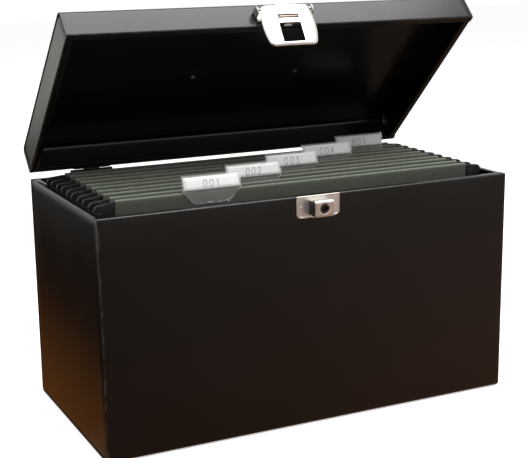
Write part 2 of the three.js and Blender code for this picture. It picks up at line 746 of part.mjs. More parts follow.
for (let i = 0; i < fileCount; i += 1) {
  const frontBarY = frontY + firstBarFromFront + i * filePitch;
  const rearBarY = frontBarY + fileOpening;
  const tabX = tabSideGap + tabWidth / 2 + i * tabStep - endX;
  const { tab, card } = tabParts(frontBarY, tabX);
  const name = `file_${i + 1}`;
  addPart(caseGroup, `${name}_folder`, folderGeometry(frontBarY, rearBarY), 'greenManila');
  addPart(caseGroup, `${name}_front_bar`, barGeometry(frontBarY), 'blackPlastic');
  addPart(caseGroup, `${name}_rear_bar`, barGeometry(rearBarY), 'blackPlastic');
  addPart(caseGroup, `${name}_tab`, tab, 'clearPlastic');
  addPart(caseGroup, `${name}_card`, card, 'whiteCard');
}

// ---------------------------------------------------------------- the whole box

const group = new THREE.Group();
group.add(caseGroup, lidPivot);

export default group;
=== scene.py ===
"""A sheet-steel document box: hinged lid, hasp lock, hanging files, carrying handle.

Every piece stands in the frame's own place, in metres, and rides on the body it belongs to.
"""

import json
import logging
import math
from dataclasses import dataclass
from enum import Enum
from typing import Callable, Sequence

import bmesh
import bpy
from mathutils import Matrix, Vector, noise

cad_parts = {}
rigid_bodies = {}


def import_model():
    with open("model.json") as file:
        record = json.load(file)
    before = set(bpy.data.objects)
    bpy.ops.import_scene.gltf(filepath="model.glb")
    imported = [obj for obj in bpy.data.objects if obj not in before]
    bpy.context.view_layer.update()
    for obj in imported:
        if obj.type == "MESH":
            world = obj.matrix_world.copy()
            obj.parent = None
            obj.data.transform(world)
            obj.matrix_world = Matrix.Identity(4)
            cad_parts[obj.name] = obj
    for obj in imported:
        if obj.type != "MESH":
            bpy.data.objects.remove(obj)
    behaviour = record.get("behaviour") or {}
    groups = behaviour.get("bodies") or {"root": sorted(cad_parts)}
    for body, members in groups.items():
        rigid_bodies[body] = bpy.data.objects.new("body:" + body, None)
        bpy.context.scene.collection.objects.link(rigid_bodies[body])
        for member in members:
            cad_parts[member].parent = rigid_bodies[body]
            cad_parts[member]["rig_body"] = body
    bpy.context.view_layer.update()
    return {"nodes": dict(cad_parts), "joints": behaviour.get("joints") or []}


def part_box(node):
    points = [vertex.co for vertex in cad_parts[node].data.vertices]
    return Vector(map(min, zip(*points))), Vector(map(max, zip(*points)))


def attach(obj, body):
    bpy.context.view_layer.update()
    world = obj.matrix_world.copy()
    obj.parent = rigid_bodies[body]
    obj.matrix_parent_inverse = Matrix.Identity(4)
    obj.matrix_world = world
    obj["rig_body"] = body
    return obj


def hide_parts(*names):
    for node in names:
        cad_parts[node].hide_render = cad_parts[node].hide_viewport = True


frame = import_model()
LOG = logging.getLogger("document_box")
MM = 0.001
NODES = frame["nodes"]
JOINTS = {joint["name"]: joint for joint in frame["joints"]}
SIDES = (("left", -1), ("right", 1))

Point2 = tuple[float, float]
Ring = list[Vector]


class Body(Enum):
    """The rigid bodies that the pieces ride on."""

    CASE = "case"
    LID = "lid"
    HASP = "hasp"
    HANDLE = "handle"
    CYLINDER = "lock_cylinder"
    BOLT = "lock_bolt"


class Slot(Enum):
    """The material slots of the record."""

    PAINT = "black_paint"
    NICKEL = "nickel"
    ZINC = "zinc"
    PLASTIC = "black_plastic"
    MANILA = "green_manila"
    CLEAR = "clear_plastic"
    CARD = "white_card"


# ---------------------------------------------------------------- shapes


@dataclass
class Shape:
    """Points, faces and a wear value for each point of one piece."""

    points: list[Vector]
    faces: list[tuple[int, ...]]
    wear: list[float]

    def plus(self, *others: "Shape") -> "Shape":
        """Joins this shape and others into one.

        Args:
            others: The shapes to add.

        Returns:
            A new shape that holds them all.
        """
        points, faces, wear = list(self.points), list(self.faces), list(self.wear)
        for other in others:
            start = len(points)
            points += other.points
            wear += other.wear
            faces += [tuple(start + i for i in face) for face in other.faces]
        return Shape(points, faces, wear)

    def moved(self, place: Matrix) -> "Shape":
        """Returns the shape put in another place."""
        return Shape([place @ point for point in self.points], self.faces, self.wear)


def grid(
    rows: Sequence[Ring],
    wear: Callable[[int, int], float] = lambda row, column: 0.0,
    skip: Callable[[int, int], bool] = lambda row, column: False,
) -> Shape:
    """Makes one skin of quads through rows of points.

    Args:
        rows: Rows of equally many points.
        wear: Gives the wear value of the point at a row and column.
        skip: Says which cells stay open, by the row and column of their first corner.

    Returns:
        The skin.
    """
    width = len(rows[0])
    points = [point for row in rows for point in row]
    values = [wear(i, j) for i in range(len(rows)) for j in range(width)]
    faces = [
        (i * width + j, i * width + j + 1, (i + 1) * width + j + 1, (i + 1) * width + j)
        for i in range(len(rows) - 1)
        for j in range(width - 1)
        if not skip(i, j)
    ]
    return Shape(points, faces, values)


def loft(rings: Sequence[Ring], cap_first: bool = True, cap_last: bool = True) -> Shape:
    """Makes a tube of quads through closed rings.

    Args:
        rings: Rings of equally many points.
        cap_first: Whether the first ring is closed by a face.
        cap_last: Whether the last ring is closed by a face.

    Returns:
        The tube, closed where it is capped.
    """
    count = len(rings[0])
    points = [point for ring in rings for point in ring]
    faces = [
        (
            i * count + j,
            i * count + (j + 1) % count,
            (i + 1) * count + (j + 1) % count,
            (i + 1) * count + j,
        )
        for i in range(len(rings) - 1)
        for j in range(count)
    ]
    if cap_first:
        faces.append(tuple(reversed(range(count))))
    if cap_last:
        last = (len(rings) - 1) * count
        faces.append(tuple(range(last, last + count)))
    return Shape(points, faces, [0.0] * len(points))


def lathe(profile: Sequence[Point2], start: Vector, axis: Vector, sides: int = 32) -> Shape:
    """Turns a profile about an axis.

    Args:
        profile: Pairs of distance along the axis and radius, from one end to the other.
        start: The point on the axis that distances count from.
        axis: The direction of the axis.
        sides: How many points go round.

    Returns:
        The turned shape, with flat ends.
    """
    along = axis.normalized()
    across = along.orthogonal().normalized()
    third = along.cross(across)
    rings = []
    for distance, radius in profile:
        middle = start + along * distance
        turn = [math.tau * k / sides for k in range(sides)]
        rings.append([middle + radius * (math.cos(a) * across + math.sin(a) * third) for a in turn])
    return loft(rings)


def tube(path: Sequence[Vector], radius: float, sides: int = 20) -> Shape:
    """Bends a round wire along a path that lies in one plane.

    Args:
        path: The wire's middle line.
        radius: The wire's radius.
        sides: How many points go round.

    Returns:
        The wire, with flat ends.
    """
    plane = (path[1] - path[0]).cross(path[len(path) // 2] - path[0]).normalized()
    rings = []
    for i, middle in enumerate(path):
        before = path[max(i - 1, 0)]
        after = path[min(i + 1, len(path) - 1)]
        across = (after - before).normalized().cross(plane)
        turn = [math.tau * k / sides for k in range(sides)]
        rings.append([middle + radius * (math.cos(a) * across + math.sin(a) * plane) for a in turn])
    return loft(rings)


def prism(outline: Sequence[Point2], depth: float, place: Matrix) -> Shape:
    """Pulls a flat outline into a plate.

    Args:
        outline: The corners, in order.
        depth: The plate's thickness.
        place: Puts the plate, drawn in X and Y and pulled along Z, where it belongs.

    Returns:
        The plate.
    """
    rings = [[place @ Vector((u, v, w)) for u, v in outline] for w in (0.0, depth)]
    return loft(rings)


def arc(centre: Point2, radius: float, start: float, end: float, steps: int = 8) -> list[Point2]:
    """Gives points on an arc.

    Args:
        centre: The middle of the arc.
        radius: Its radius.
        start: The first angle, in degrees.
        end: The last angle, in degrees.
        steps: How many steps the arc has.

    Returns:
        The points, both ends included.
    """
    angles = [math.radians(start + (end - start) * i / steps) for i in range(steps + 1)]
    return [(centre[0] + radius * math.cos(a), centre[1] + radius * math.sin(a)) for a in angles]


def dense(line: Sequence[Point2], step: float) -> list[Point2]:
    """Adds points to a line so that no stretch is longer than a step.

    Args:
        line: The corners of the line.
        step: The longest stretch that is left.

    Returns:
        The finer line.
    """
    result = [line[0]]
    for (u0, v0), (u1, v1) in zip(line, line[1:]):
        parts = max(1, math.ceil(math.hypot(u1 - u0, v1 - v0) / step))
        result += [(u0 + (u1 - u0) * k / parts, v0 + (v1 - v0) * k / parts) for k in range(1, parts + 1)]
    return result


def rounded(corners: Sequence[Point2], radius: float, steps: int = 4) -> list[Point2]:
    """Rounds the inner corners of an open line.

    Args:
        corners: The line's corners.
        radius: How far from each corner the rounding starts.
        steps: How many steps each round has.

    Returns:
        The line with round corners.
    """
    result = [corners[0]]
    for before, here, after in zip(corners, corners[1:], corners[2:]):
        a, b, c = Vector(before), Vector(here), Vector(after)
        start = b + (a - b).normalized() * min(radius, (a - b).length / 2)
        end = b + (c - b).normalized() * min(radius, (c - b).length / 2)
        for k in range(steps + 1):
            t = k / steps
            point = start * (1 - t) ** 2 + b * 2 * t * (1 - t) + end * t**2
            result.append((point.x, point.y))
    result.append(corners[-1])
    return result


def spread(low: float, high: float, count: int) -> list[float]:
    """Returns evenly spaced values, both ends included."""
    return [low + (high - low) * i / (count - 1) for i in range(count)]


def rectangle(width: float, height: float, corner: float, count: int) -> list[Point2]:
    """Gives points round a rectangle with round corners, matched by angle to a circle's.

    Args:
        width: The full width.
        height: The full height.
        corner: The radius of the corners.
        count: How many points go round.

    Returns:
        The points, from the middle of the right side.
    """
    half_w, half_h = width / 2, height / 2
    result = []
    for k in range(count):
        angle = math.tau * k / count
        c, s = math.cos(angle), math.sin(angle)
        reach = min(half_w / abs(c) if abs(c) > 1e-9 else 1e9, half_h / abs(s) if abs(s) > 1e-9 else 1e9)
        u, v = reach * c, reach * s
        inner_u = max(-half_w + corner, min(half_w - corner, u))
        inner_v = max(-half_h + corner, min(half_h - corner, v))
        off = Vector((u - inner_u, v - inner_v))
        if off.x and off.y:
            off = off.normalized() * corner
        result.append((inner_u + off.x, inner_v + off.y))
    return result


def circle(radius: float, count: int) -> list[Point2]:
    """Returns points round a circle, from the right."""
    angles = [math.tau * k / count for k in range(count)]
    return [(radius * math.cos(a), radius * math.sin(a)) for a in angles]


def local_box(node: str, place: Matrix) -> tuple[Vector, Vector]:
    """Measures a node in the coordinates that it was drawn in.

    Args:
        node: The node's name.
        place: What puts those coordinates where the node stands at rest.

    Returns:
        The lowest and highest corner.
    """
    back = place.inverted()
    points = [back @ v.co for v in NODES[node].data.vertices]
    low = Vector([min(p[i] for p in points) for i in range(3)])
    high = Vector([max(p[i] for p in points) for i in range(3)])
    return low, high


# ---------------------------------------------------------------- pieces


@dataclass(frozen=True)
class Edge:
    """How the edges of a piece are broken."""

    width: float = 0.25 * MM
    segments: int = 2
    angle: float = 40.0


def add_piece(
    name: str,
    shape: Shape,
    finish: "Finish",
    body: Body | str,
    replaces: Sequence[str] = (),
    sheet: float = 0.0,
    edge: Edge | None = Edge(),
    smooth: float = 32.0,
) -> bpy.types.Object:
    """Makes an object of a shape and ties it to the frame.

    Args:
        name: The piece's name.
        shape: Its geometry, in the frame's coordinates.
        finish: What it is made of.
        body: The body that it rides on.
        replaces: The nodes that it stands for.
        sheet: The thickness given to a skin, or 0 for a closed shape.
        edge: How its edges are broken, or None to leave them.
        smooth: The angle, in degrees, above which an edge stays sharp.

    Returns:
        The new object.
    """
    mesh = bpy.data.meshes.new(name)
    mesh.from_pydata([tuple(point) for point in shape.points], [], shape.faces)
    wear = mesh.attributes.new("wear", "FLOAT", "POINT")
    wear.data.foreach_set("value", shape.wear)
    work = bmesh.new()
    work.from_mesh(mesh)
    bmesh.ops.remove_doubles(work, verts=work.verts, dist=1e-7)
    bmesh.ops.recalc_face_normals(work, faces=work.faces)
    work.to_mesh(mesh)
    work.free()
    mesh.shade_smooth()
    mesh.set_sharp_from_angle(angle=math.radians(smooth))
    piece = bpy.data.objects.new(name, mesh)
    bpy.context.scene.collection.objects.link(piece)
    mesh.materials.append(finish.material())
    if sheet:
        solid = piece.modifiers.new("sheet", "SOLIDIFY")
        solid.thickness = sheet
        solid.offset = 0.0
        solid.use_even_offset = True
    if edge:
        bevel = piece.modifiers.new("edge", "BEVEL")
        bevel.width = edge.width
        bevel.segments = edge.segments
        bevel.limit_method = "ANGLE"
        bevel.angle_limit = math.radians(edge.angle)
        bevel.use_clamp_overlap = True
    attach(piece, body.value if isinstance(body, Body) else body)
    if replaces:
        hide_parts(*replaces)
    return piece


def refine(node: str, finish: "Finish", edge: Edge = Edge()) -> bpy.types.Object:
    """Makes a finished piece of a node's own faces, with its edges broken and its rounds smooth.

    Args:
        node: The node's name.
        finish: What it is made of.
        edge: How its edges are broken.

    Returns:
        The piece that stands for the node.
    """
    work = bmesh.new()
    work.from_mesh(NODES[node].data)
    bmesh.ops.remove_doubles(work, verts=work.verts, dist=2e-6)
    bmesh.ops.dissolve_limit(work, angle_limit=math.radians(1.0), verts=work.verts, edges=work.edges)
    work.verts.ensure_lookup_table()
    points = [v.co.copy() for v in work.verts]
    faces = [tuple(v.index for v in face.verts) for face in work.faces]
    work.free()
    shape = Shape(points, faces, [0.5] * len(points))
    body = NODES[node]["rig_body"]
    return add_piece(f"{node}_finished", shape, finish, body, [node], edge=edge)


# ---------------------------------------------------------------- shader groups


class Graph:
    """A short way to write a node tree."""

    def __init__(self, tree: bpy.types.NodeTree) -> None:
        """Keeps the tree that nodes are added to."""
        self.tree = tree

    def node(self, kind: str, links: dict | None = None, **settings: object) -> bpy.types.Node:
        """Adds a node.

        Args:
            kind: The node's type, without its ShaderNode prefix.
            links: The sockets to set, by name or number, to a value or another node's output.
            settings: The node's own properties.

        Returns:
            The node.
        """
        made = self.tree.nodes.new(kind if kind.startswith("Node") else f"ShaderNode{kind}")
        for key, value in settings.items():
            setattr(made, key, value)
        for key, value in (links or {}).items():
            if isinstance(value, bpy.types.NodeSocket):
                self.tree.links.new(value, made.inputs[key])
            else:
                made.inputs[key].default_value = value
        return made

    def noise(self, at: bpy.types.NodeSocket, scale: float, detail: float = 3.0) -> bpy.types.NodeSocket:
        """Returns the value of a noise at some coordinates."""
        return self.node("TexNoise", {"Vector": at, "Scale": scale, "Detail": detail}).outputs[0]

    def band(self, value: bpy.types.NodeSocket, low: float, high: float) -> bpy.types.NodeSocket:
        """Returns a value cut to a band and stretched to 0 and 1, with soft ends."""
        made = self.node("MapRange", {0: value, 1: low, 2: high}, interpolation_type="SMOOTHSTEP")
        return made.outputs[0]

    def math(self, operation: str, *values: object) -> bpy.types.NodeSocket:
        """Returns the result of a sum on values or sockets."""
        return self.node("Math", dict(enumerate(values)), operation=operation).outputs[0]

    def mix(self, share: object, a: object, b: object) -> bpy.types.NodeSocket:
        """Returns a mix of two colours."""
        made = self.node("Mix", {0: share, 6: a, 7: b}, data_type="RGBA")
        return made.outputs[2]

    def stretch(self, at: bpy.types.NodeSocket, scale: tuple[float, float, float]) -> bpy.types.NodeSocket:
        """Returns coordinates stretched along each axis."""
        return self.node("Mapping", {"Vector": at, "Scale": scale}).outputs[0]


class Effect(Enum):
    """The surface effects that several finishes share."""

    EDGE_WEAR = "edge_wear"
    GRAIN = "grain"
    SMUDGE = "smudge"
    SCRATCHES = "scratches"
    FIBRE = "fibre"


def effect_group(effect: Effect) -> bpy.types.NodeTree:
    """Finds or builds the shader group of an effect.

    Args:
        effect: Which effect.

    Returns:
        The group, with the inputs Size and Amount and the outputs Mask and Height.
    """
    if effect.value in bpy.data.node_groups:
        return bpy.data.node_groups[effect.value]
    tree = bpy.data.node_groups.new(effect.value, "ShaderNodeTree")
    for name, value in (("Size", 1.0), ("Amount", 1.0)):
        tree.interface.new_socket(name, in_out="INPUT", socket_type="NodeSocketFloat").default_value = value
    for name in ("Mask", "Height"):
        tree.interface.new_socket(name, in_out="OUTPUT", socket_type="NodeSocketFloat")
    graph = Graph(tree)
    given = graph.node("NodeGroupInput")
    size, amount = given.outputs["Size"], given.outputs["Amount"]
    place = graph.node("TexCoord").outputs["Object"]
    finer = graph.math("DIVIDE", 1.0, size)
    at = graph.node("VectorMath", {0: place, "Scale": finer}, operation="SCALE").outputs[0]
    mask, height = EFFECTS[effect](graph, at)
    strong = graph.math("MULTIPLY", mask, amount)
    graph.node("NodeGroupOutput", {"Mask": strong, "Height": graph.math("MULTIPLY", height, amount)})
    return tree


def edge_wear(graph: Graph, at: bpy.types.NodeSocket) -> tuple[bpy.types.NodeSocket, ...]:
    """Paint rubbed thin along folds and cut edges, in broken patches."""
    value = graph.node("Attribute", attribute_name="wear").outputs["Fac"]
    patches = graph.band(graph.noise(at, 90.0, 5.0), 0.42, 0.66)
    mask = graph.math("MULTIPLY", graph.band(value, 0.55, 1.0), patches)
    return mask, mask


def grain(graph: Graph, at: bpy.types.NodeSocket) -> tuple[bpy.types.NodeSocket, ...]:
    """The fine pebble of a sprayed or moulded skin, and slow drifts in its tone."""
    fine = graph.noise(at, 1400.0, 2.0)
    broad = graph.noise(at, 9.0, 3.0)
    return broad, fine


def smudge(graph: Graph, at: bpy.types.NodeSocket) -> tuple[bpy.types.NodeSocket, ...]:
    """Handling marks and settled dust, in soft uneven patches."""
    patch = graph.band(graph.noise(at, 14.0, 6.0), 0.46, 0.72)
    speck = graph.band(graph.noise(at, 900.0, 2.0), 0.66, 0.74)
    return graph.math("MAXIMUM", patch, graph.math("MULTIPLY", speck, 0.5)), speck


def scratches(graph: Graph, at: bpy.types.NodeSocket) -> tuple[bpy.types.NodeSocket, ...]:
    """Hairline rubbing marks along the length, and a few that cross them."""
    long = graph.band(graph.noise(graph.stretch(at, (40.0, 1900.0, 1900.0)), 1.0, 2.0), 0.60, 0.70)
    cross = graph.band(graph.noise(graph.stretch(at, (900.0, 60.0, 60.0)), 1.0, 2.0), 0.66, 0.72)
    mask = graph.math("MAXIMUM", long, cross)
    return mask, mask


def fibre(graph: Graph, at: bpy.types.NodeSocket) -> tuple[bpy.types.NodeSocket, ...]:
    """Pressed paper fibres: short streaks that run in two directions."""
    one = graph.noise(graph.stretch(at, (260.0, 1500.0, 1500.0)), 1.0, 4.0)
    two = graph.noise(graph.stretch(at, (1500.0, 300.0, 300.0)), 1.0, 4.0)
    both = graph.math("MULTIPLY", graph.math("ADD", one, two), 0.5)
    return graph.band(both, 0.40, 0.62), both


EFFECTS = {
    Effect.EDGE_WEAR: edge_wear,
    Effect.GRAIN: grain,
    Effect.SMUDGE: smudge,
    Effect.SCRATCHES: scratches,
    Effect.FIBRE: fibre,
}

Colour = tuple[float, float, float]


def rgba(colour: Colour) -> tuple[float, float, float, float]:
    """Returns a colour with full alpha."""
    return (*colour, 1.0)


# ---------------------------------------------------------------- finishes


@dataclass(frozen=True)
class Finish:
    """What a piece is made of. Each kind of finish fills in its own shader."""

    name: str
    slot: Slot

    def material(self) -> bpy.types.Material:
        """Finds or builds the material.

        Returns:
            The material, made once for each finish.
        """
        if self.name in bpy.data.materials:
            return bpy.data.materials[self.name]
        made = bpy.data.materials.new(self.name)
        made.use_nodes = True
        made.node_tree.nodes.clear()
        graph = Graph(made.node_tree)
        shader = graph.node("BsdfPrincipled")
        graph.node("OutputMaterial", {"Surface": shader.outputs[0]})
        self.dress(graph, shader)
        return made

    def dress(self, graph: Graph, shader: bpy.types.Node) -> None:
        """Sets the shader up. Each finish has its own way."""
        raise NotImplementedError

    def effect(self, graph: Graph, effect: Effect, size: float, amount: float) -> bpy.types.Node:
        """Places a shared effect in the material.

        Args:
            graph: The material's nodes.
            effect: Which effect.
            size: Its scale, where 1 is the size it was drawn at.
            amount: Its strength.

        Returns:
            The group's node.
        """
        placed = graph.node("Group")
        placed.node_tree = effect_group(effect)
        placed.inputs["Size"].default_value = size
        placed.inputs["Amount"].default_value = amount
        return placed

    def bump(self, graph: Graph, shader: bpy.types.Node, height: object, depth: float) -> None:
        """Feeds a height to the shader's normal.

        Args:
            graph: The material's nodes.
            shader: The shader.
            height: The socket that gives the height.
            depth: How deep the relief is, in metres.
        """
        made = graph.node("Bump", {"Height": height, "Distance": depth, "Strength": 1.0})
        graph.tree.links.new(made.outputs[0], shader.inputs["Normal"])


@dataclass(frozen=True)
class Paint(Finish):
    """Stove enamel on sheet steel: satin, faintly pebbled, rubbed thin on the folds."""

    colour: Colour = (0.0022, 0.002, 0.0019)
    worn: Colour = (0.045, 0.042, 0.04)
    roughness: float = 0.22
    mark_rough: float = 0.09
    line_polish: float = 0.05
    pebble: float = 0.000035

    def dress(self, graph: Graph, shader: bpy.types.Node) -> None:
        """Lays the enamel, its grain, its handling marks and its worn folds."""
        skin = self.effect(graph, Effect.GRAIN, 1.0, 1.0)
        wear = self.effect(graph, Effect.EDGE_WEAR, 1.0, 0.55)
        marks = self.effect(graph, Effect.SMUDGE, 1.0, 0.5)
        lines = self.effect(graph, Effect.SCRATCHES, 1.6, 0.5)
        paler = rgba(tuple(c * 1.5 for c in self.colour))
        drift = graph.mix(skin.outputs["Mask"], rgba(self.colour), paler)
        tone = graph.mix(wear.outputs["Mask"], drift, rgba(self.worn))
        graph.tree.links.new(tone, shader.inputs["Base Color"])
        rough = graph.math("MULTIPLY_ADD", marks.outputs["Mask"], self.mark_rough, self.roughness)
        rough = graph.math("MULTIPLY_ADD", lines.outputs["Mask"], -self.line_polish, rough)
        graph.tree.links.new(rough, shader.inputs["Roughness"])
        shader.inputs["IOR"].default_value = 1.5
        self.bump(graph, shader, skin.outputs["Height"], self.pebble)


@dataclass(frozen=True)
class Plating(Finish):
    """Bright or dull metal plating with hairlines, finger marks and a little uneven tone."""

    light: Colour = (0.95, 0.93, 0.89)
    dark: Colour = (0.84, 0.81, 0.76)
    roughness: float = 0.2
    lines: float = 0.5
    mark_rough: float = 0.12
    drift_rough: float = 0.06
    line_depth: float = 0.00002

    def dress(self, graph: Graph, shader: bpy.types.Node) -> None:
        """Lays the plating and the marks on it."""
        skin = self.effect(graph, Effect.GRAIN, 0.35, 1.0)
        marks = self.effect(graph, Effect.SMUDGE, 0.4, 0.8)
        lines = self.effect(graph, Effect.SCRATCHES, 0.8, self.lines)
        tone = graph.mix(marks.outputs["Mask"], rgba(self.light), rgba(self.dark))
        graph.tree.links.new(tone, shader.inputs["Base Color"])
        shader.inputs["Metallic"].default_value = 1.0
        rough = graph.math("MULTIPLY_ADD", marks.outputs["Mask"], self.mark_rough, self.roughness)
        rough = graph.math("MULTIPLY_ADD", skin.outputs["Mask"], self.drift_rough, rough)
        graph.tree.links.new(rough, shader.inputs["Roughness"])
        self.bump(graph, shader, lines.outputs["Height"], self.line_depth)


@dataclass(frozen=True)
class Moulded(Finish):
    """Black moulded plastic with a fine matt grain and greyer rubbed edges."""

    colour: Colour = (0.008, 0.008, 0.0085)
    rubbed: Colour = (0.05, 0.05, 0.052)
    roughness: float = 0.4
    mark_rough: float = 0.15
    pebble: float = 0.00005

    def dress(self, graph: Graph, shader: bpy.types.Node) -> None:
        """Lays the plastic, its grain and its rubbed edges."""
        skin = self.effect(graph, Effect.GRAIN, 0.8, 1.0)
        wear = self.effect(graph, Effect.EDGE_WEAR, 0.5, 0.7)
        marks = self.effect(graph, Effect.SMUDGE, 0.6, 0.6)
        tone = graph.mix(wear.outputs["Mask"], rgba(self.colour), rgba(self.rubbed))
        graph.tree.links.new(tone, shader.inputs["Base Color"])
        rough = graph.math("MULTIPLY_ADD", marks.outputs["Mask"], self.mark_rough, self.roughness)
        graph.tree.links.new(rough, shader.inputs["Roughness"])
        self.bump(graph, shader, skin.outputs["Height"], self.pebble)


@dataclass(frozen=True)
class Paper(Finish):
    """Card or manila: fibres, slow drifts in tone, lighter rubbed edges, and painted shade that darkens
    upright faces.
    """

    colour: Colour = (0.108, 0.125, 0.086)
    fleck: Colour = (0.144, 0.164, 0.12)
    rubbed: Colour = (0.24, 0.27, 0.21)
    relief: float = 0.00008
    # Painted shade: the share of the colour kept on upright faces, which face the overhead light less.
    upright: float = 0.62
    roughness: float = 0.72
    sheen: float = 0.15

    def dress(self, graph: Graph, shader: bpy.types.Node) -> None:
        """Lays the paper, its fibres, its rubbed edges and the painted shade on its upright faces."""
        threads = self.effect(graph, Effect.FIBRE, 1.0, 1.0)
        skin = self.effect(graph, Effect.GRAIN, 1.4, 0.5)
        wear = self.effect(graph, Effect.EDGE_WEAR, 0.8, 0.8)
        tone = graph.mix(threads.outputs["Mask"], rgba(self.colour), rgba(self.fleck))
        darker = rgba(tuple(c * 0.85 for c in self.colour))
        tone = graph.mix(skin.outputs["Mask"], tone, darker)
        tone = graph.mix(wear.outputs["Mask"], tone, rgba(self.rubbed))
        # Painted shade: faces that stand upright are multiplied darker than faces that look up.
        facing = graph.node("SeparateXYZ", {0: graph.node("NewGeometry").outputs["Normal"]}).outputs["Z"]
        shade = rgba((self.upright,) * 3)
        painted_shade_tone = graph.node("Mix", {0: 1.0, 6: tone, 7: shade}, data_type="RGBA", blend_type="MULTIPLY")
        tone = graph.mix(graph.band(facing, 0.05, 0.75), painted_shade_tone.outputs[2], tone)
        graph.tree.links.new(tone, shader.inputs["Base Color"])
        shader.inputs["Roughness"].default_value = self.roughness
        shader.inputs["Sheen Weight"].default_value = self.sheen
        self.bump(graph, shader, threads.outputs["Height"], self.relief)


@dataclass(frozen=True)
class ClearSheet(Finish):
    """Clear stiff plastic: see-through face on, cloudier where it turns away or is rubbed."""

    colour: Colour = (0.93, 0.92, 0.92)
    face_cloud: float = 0.07
    edge_cloud: float = 0.2
    line_cloud: float = 0.15
    roughness: float = 0.12

    def dress(self, graph: Graph, shader: bpy.types.Node) -> None:
        """Lays the plastic with its cloudy edges and hairlines."""
        lines = self.effect(graph, Effect.SCRATCHES, 0.6, 0.25)
        wear = self.effect(graph, Effect.EDGE_WEAR, 0.5, 0.5)
        turned = graph.node("LayerWeight", {"Blend": 0.35}).outputs["Facing"]
        cloud = graph.math("MULTIPLY_ADD", turned, self.edge_cloud, self.face_cloud)
        cloud = graph.math("ADD", cloud, graph.math("MULTIPLY", lines.outputs["Mask"], self.line_cloud))
        cloud = graph.math("ADD", cloud, wear.outputs["Mask"])
        graph.tree.links.new(cloud, shader.inputs["Alpha"])
        shader.inputs["Base Color"].default_value = rgba(self.colour)
        rough = graph.math("MULTIPLY_ADD", lines.outputs["Mask"], 0.2, self.roughness)
        graph.tree.links.new(rough, shader.inputs["Roughness"])


PAINT = Paint("satin_black_enamel", Slot.PAINT)
NICKEL = Plating("bright_nickel", Slot.NICKEL)
LOCK_NICKEL = Plating("lock_nickel", Slot.NICKEL, (0.95, 0.92, 0.87), (0.75, 0.7, 0.64), 0.22, 0.9)
ZINC = Plating("dull_zinc", Slot.ZINC, (0.5, 0.5, 0.48), (0.36, 0.36, 0.34), 0.36, 0.8)
PLATE_NICKEL = Plating("plate_nickel", Slot.NICKEL, (0.9, 0.87, 0.82), (0.74, 0.7, 0.64), 0.4, 0.9)
CORE = Plating("lock_core", Slot.ZINC, (0.07, 0.065, 0.06), (0.03, 0.028, 0.026), 0.35, 0.5)
# Painted shade: dark plating for the thin panels that stand in for the shade on the boss's sides.
SIDE_SHADE_PANEL = Plating("lock_side_painted_shade", Slot.ZINC, (0.05, 0.045, 0.04), (0.015, 0.014, 0.013), 0.4, 0.9)
# Painted reflection: brown-tinted plating for the tongue's lip, standing in for a brown reflection.
LIP_PAINTED_REFLECTION = Plating("lip_nickel_painted_reflection", Slot.NICKEL, (0.5, 0.38, 0.3), (0.2, 0.14, 0.1), 0.24, 0.4)
# Painted shade: near-black for the floor behind the hasp's slot and the shadow strips beside its tongue.
PAINTED_SHADE = Plating("slot_painted_shade", Slot.NICKEL, (0.02, 0.012, 0.008), (0.01, 0.006, 0.004), 0.4, 0.4)
PLASTIC = Moulded("moulded_black", Slot.PLASTIC)
MANILA = Paper("manila_fibre", Slot.MANILA)
CARD = Paper(
    "index_card_fibre", Slot.CARD, (0.9, 0.88, 0.87), (0.93, 0.92, 0.91), (0.95, 0.94, 0.93),
    relief=0.00004, upright=1.0,
)
PENCIL = Paper(
    "pencil_mark", Slot.CARD, (0.03, 0.03, 0.035), (0.06, 0.06, 0.06), (0.1, 0.1, 0.1),
    relief=0.00004, upright=1.0,
)
CLEAR = ClearSheet("clear_sheet", Slot.CLEAR)


# ---------------------------------------------------------------- pressed steel trays


def lid_place() -> Matrix:
    """Puts the lid's shut coordinates where the open lid stands at rest.

    Returns:
        The turn about the hinge line.
    """
    hinge = JOINTS["lid_hinge"]
    pivot = Matrix.Translation(Vector(hinge["pos_m"]))
    turn = Matrix.Rotation(-math.radians(hinge["range_deg"][0]), 4, Vector(hinge["axis"]))
    return pivot @ turn @ pivot.inverted()


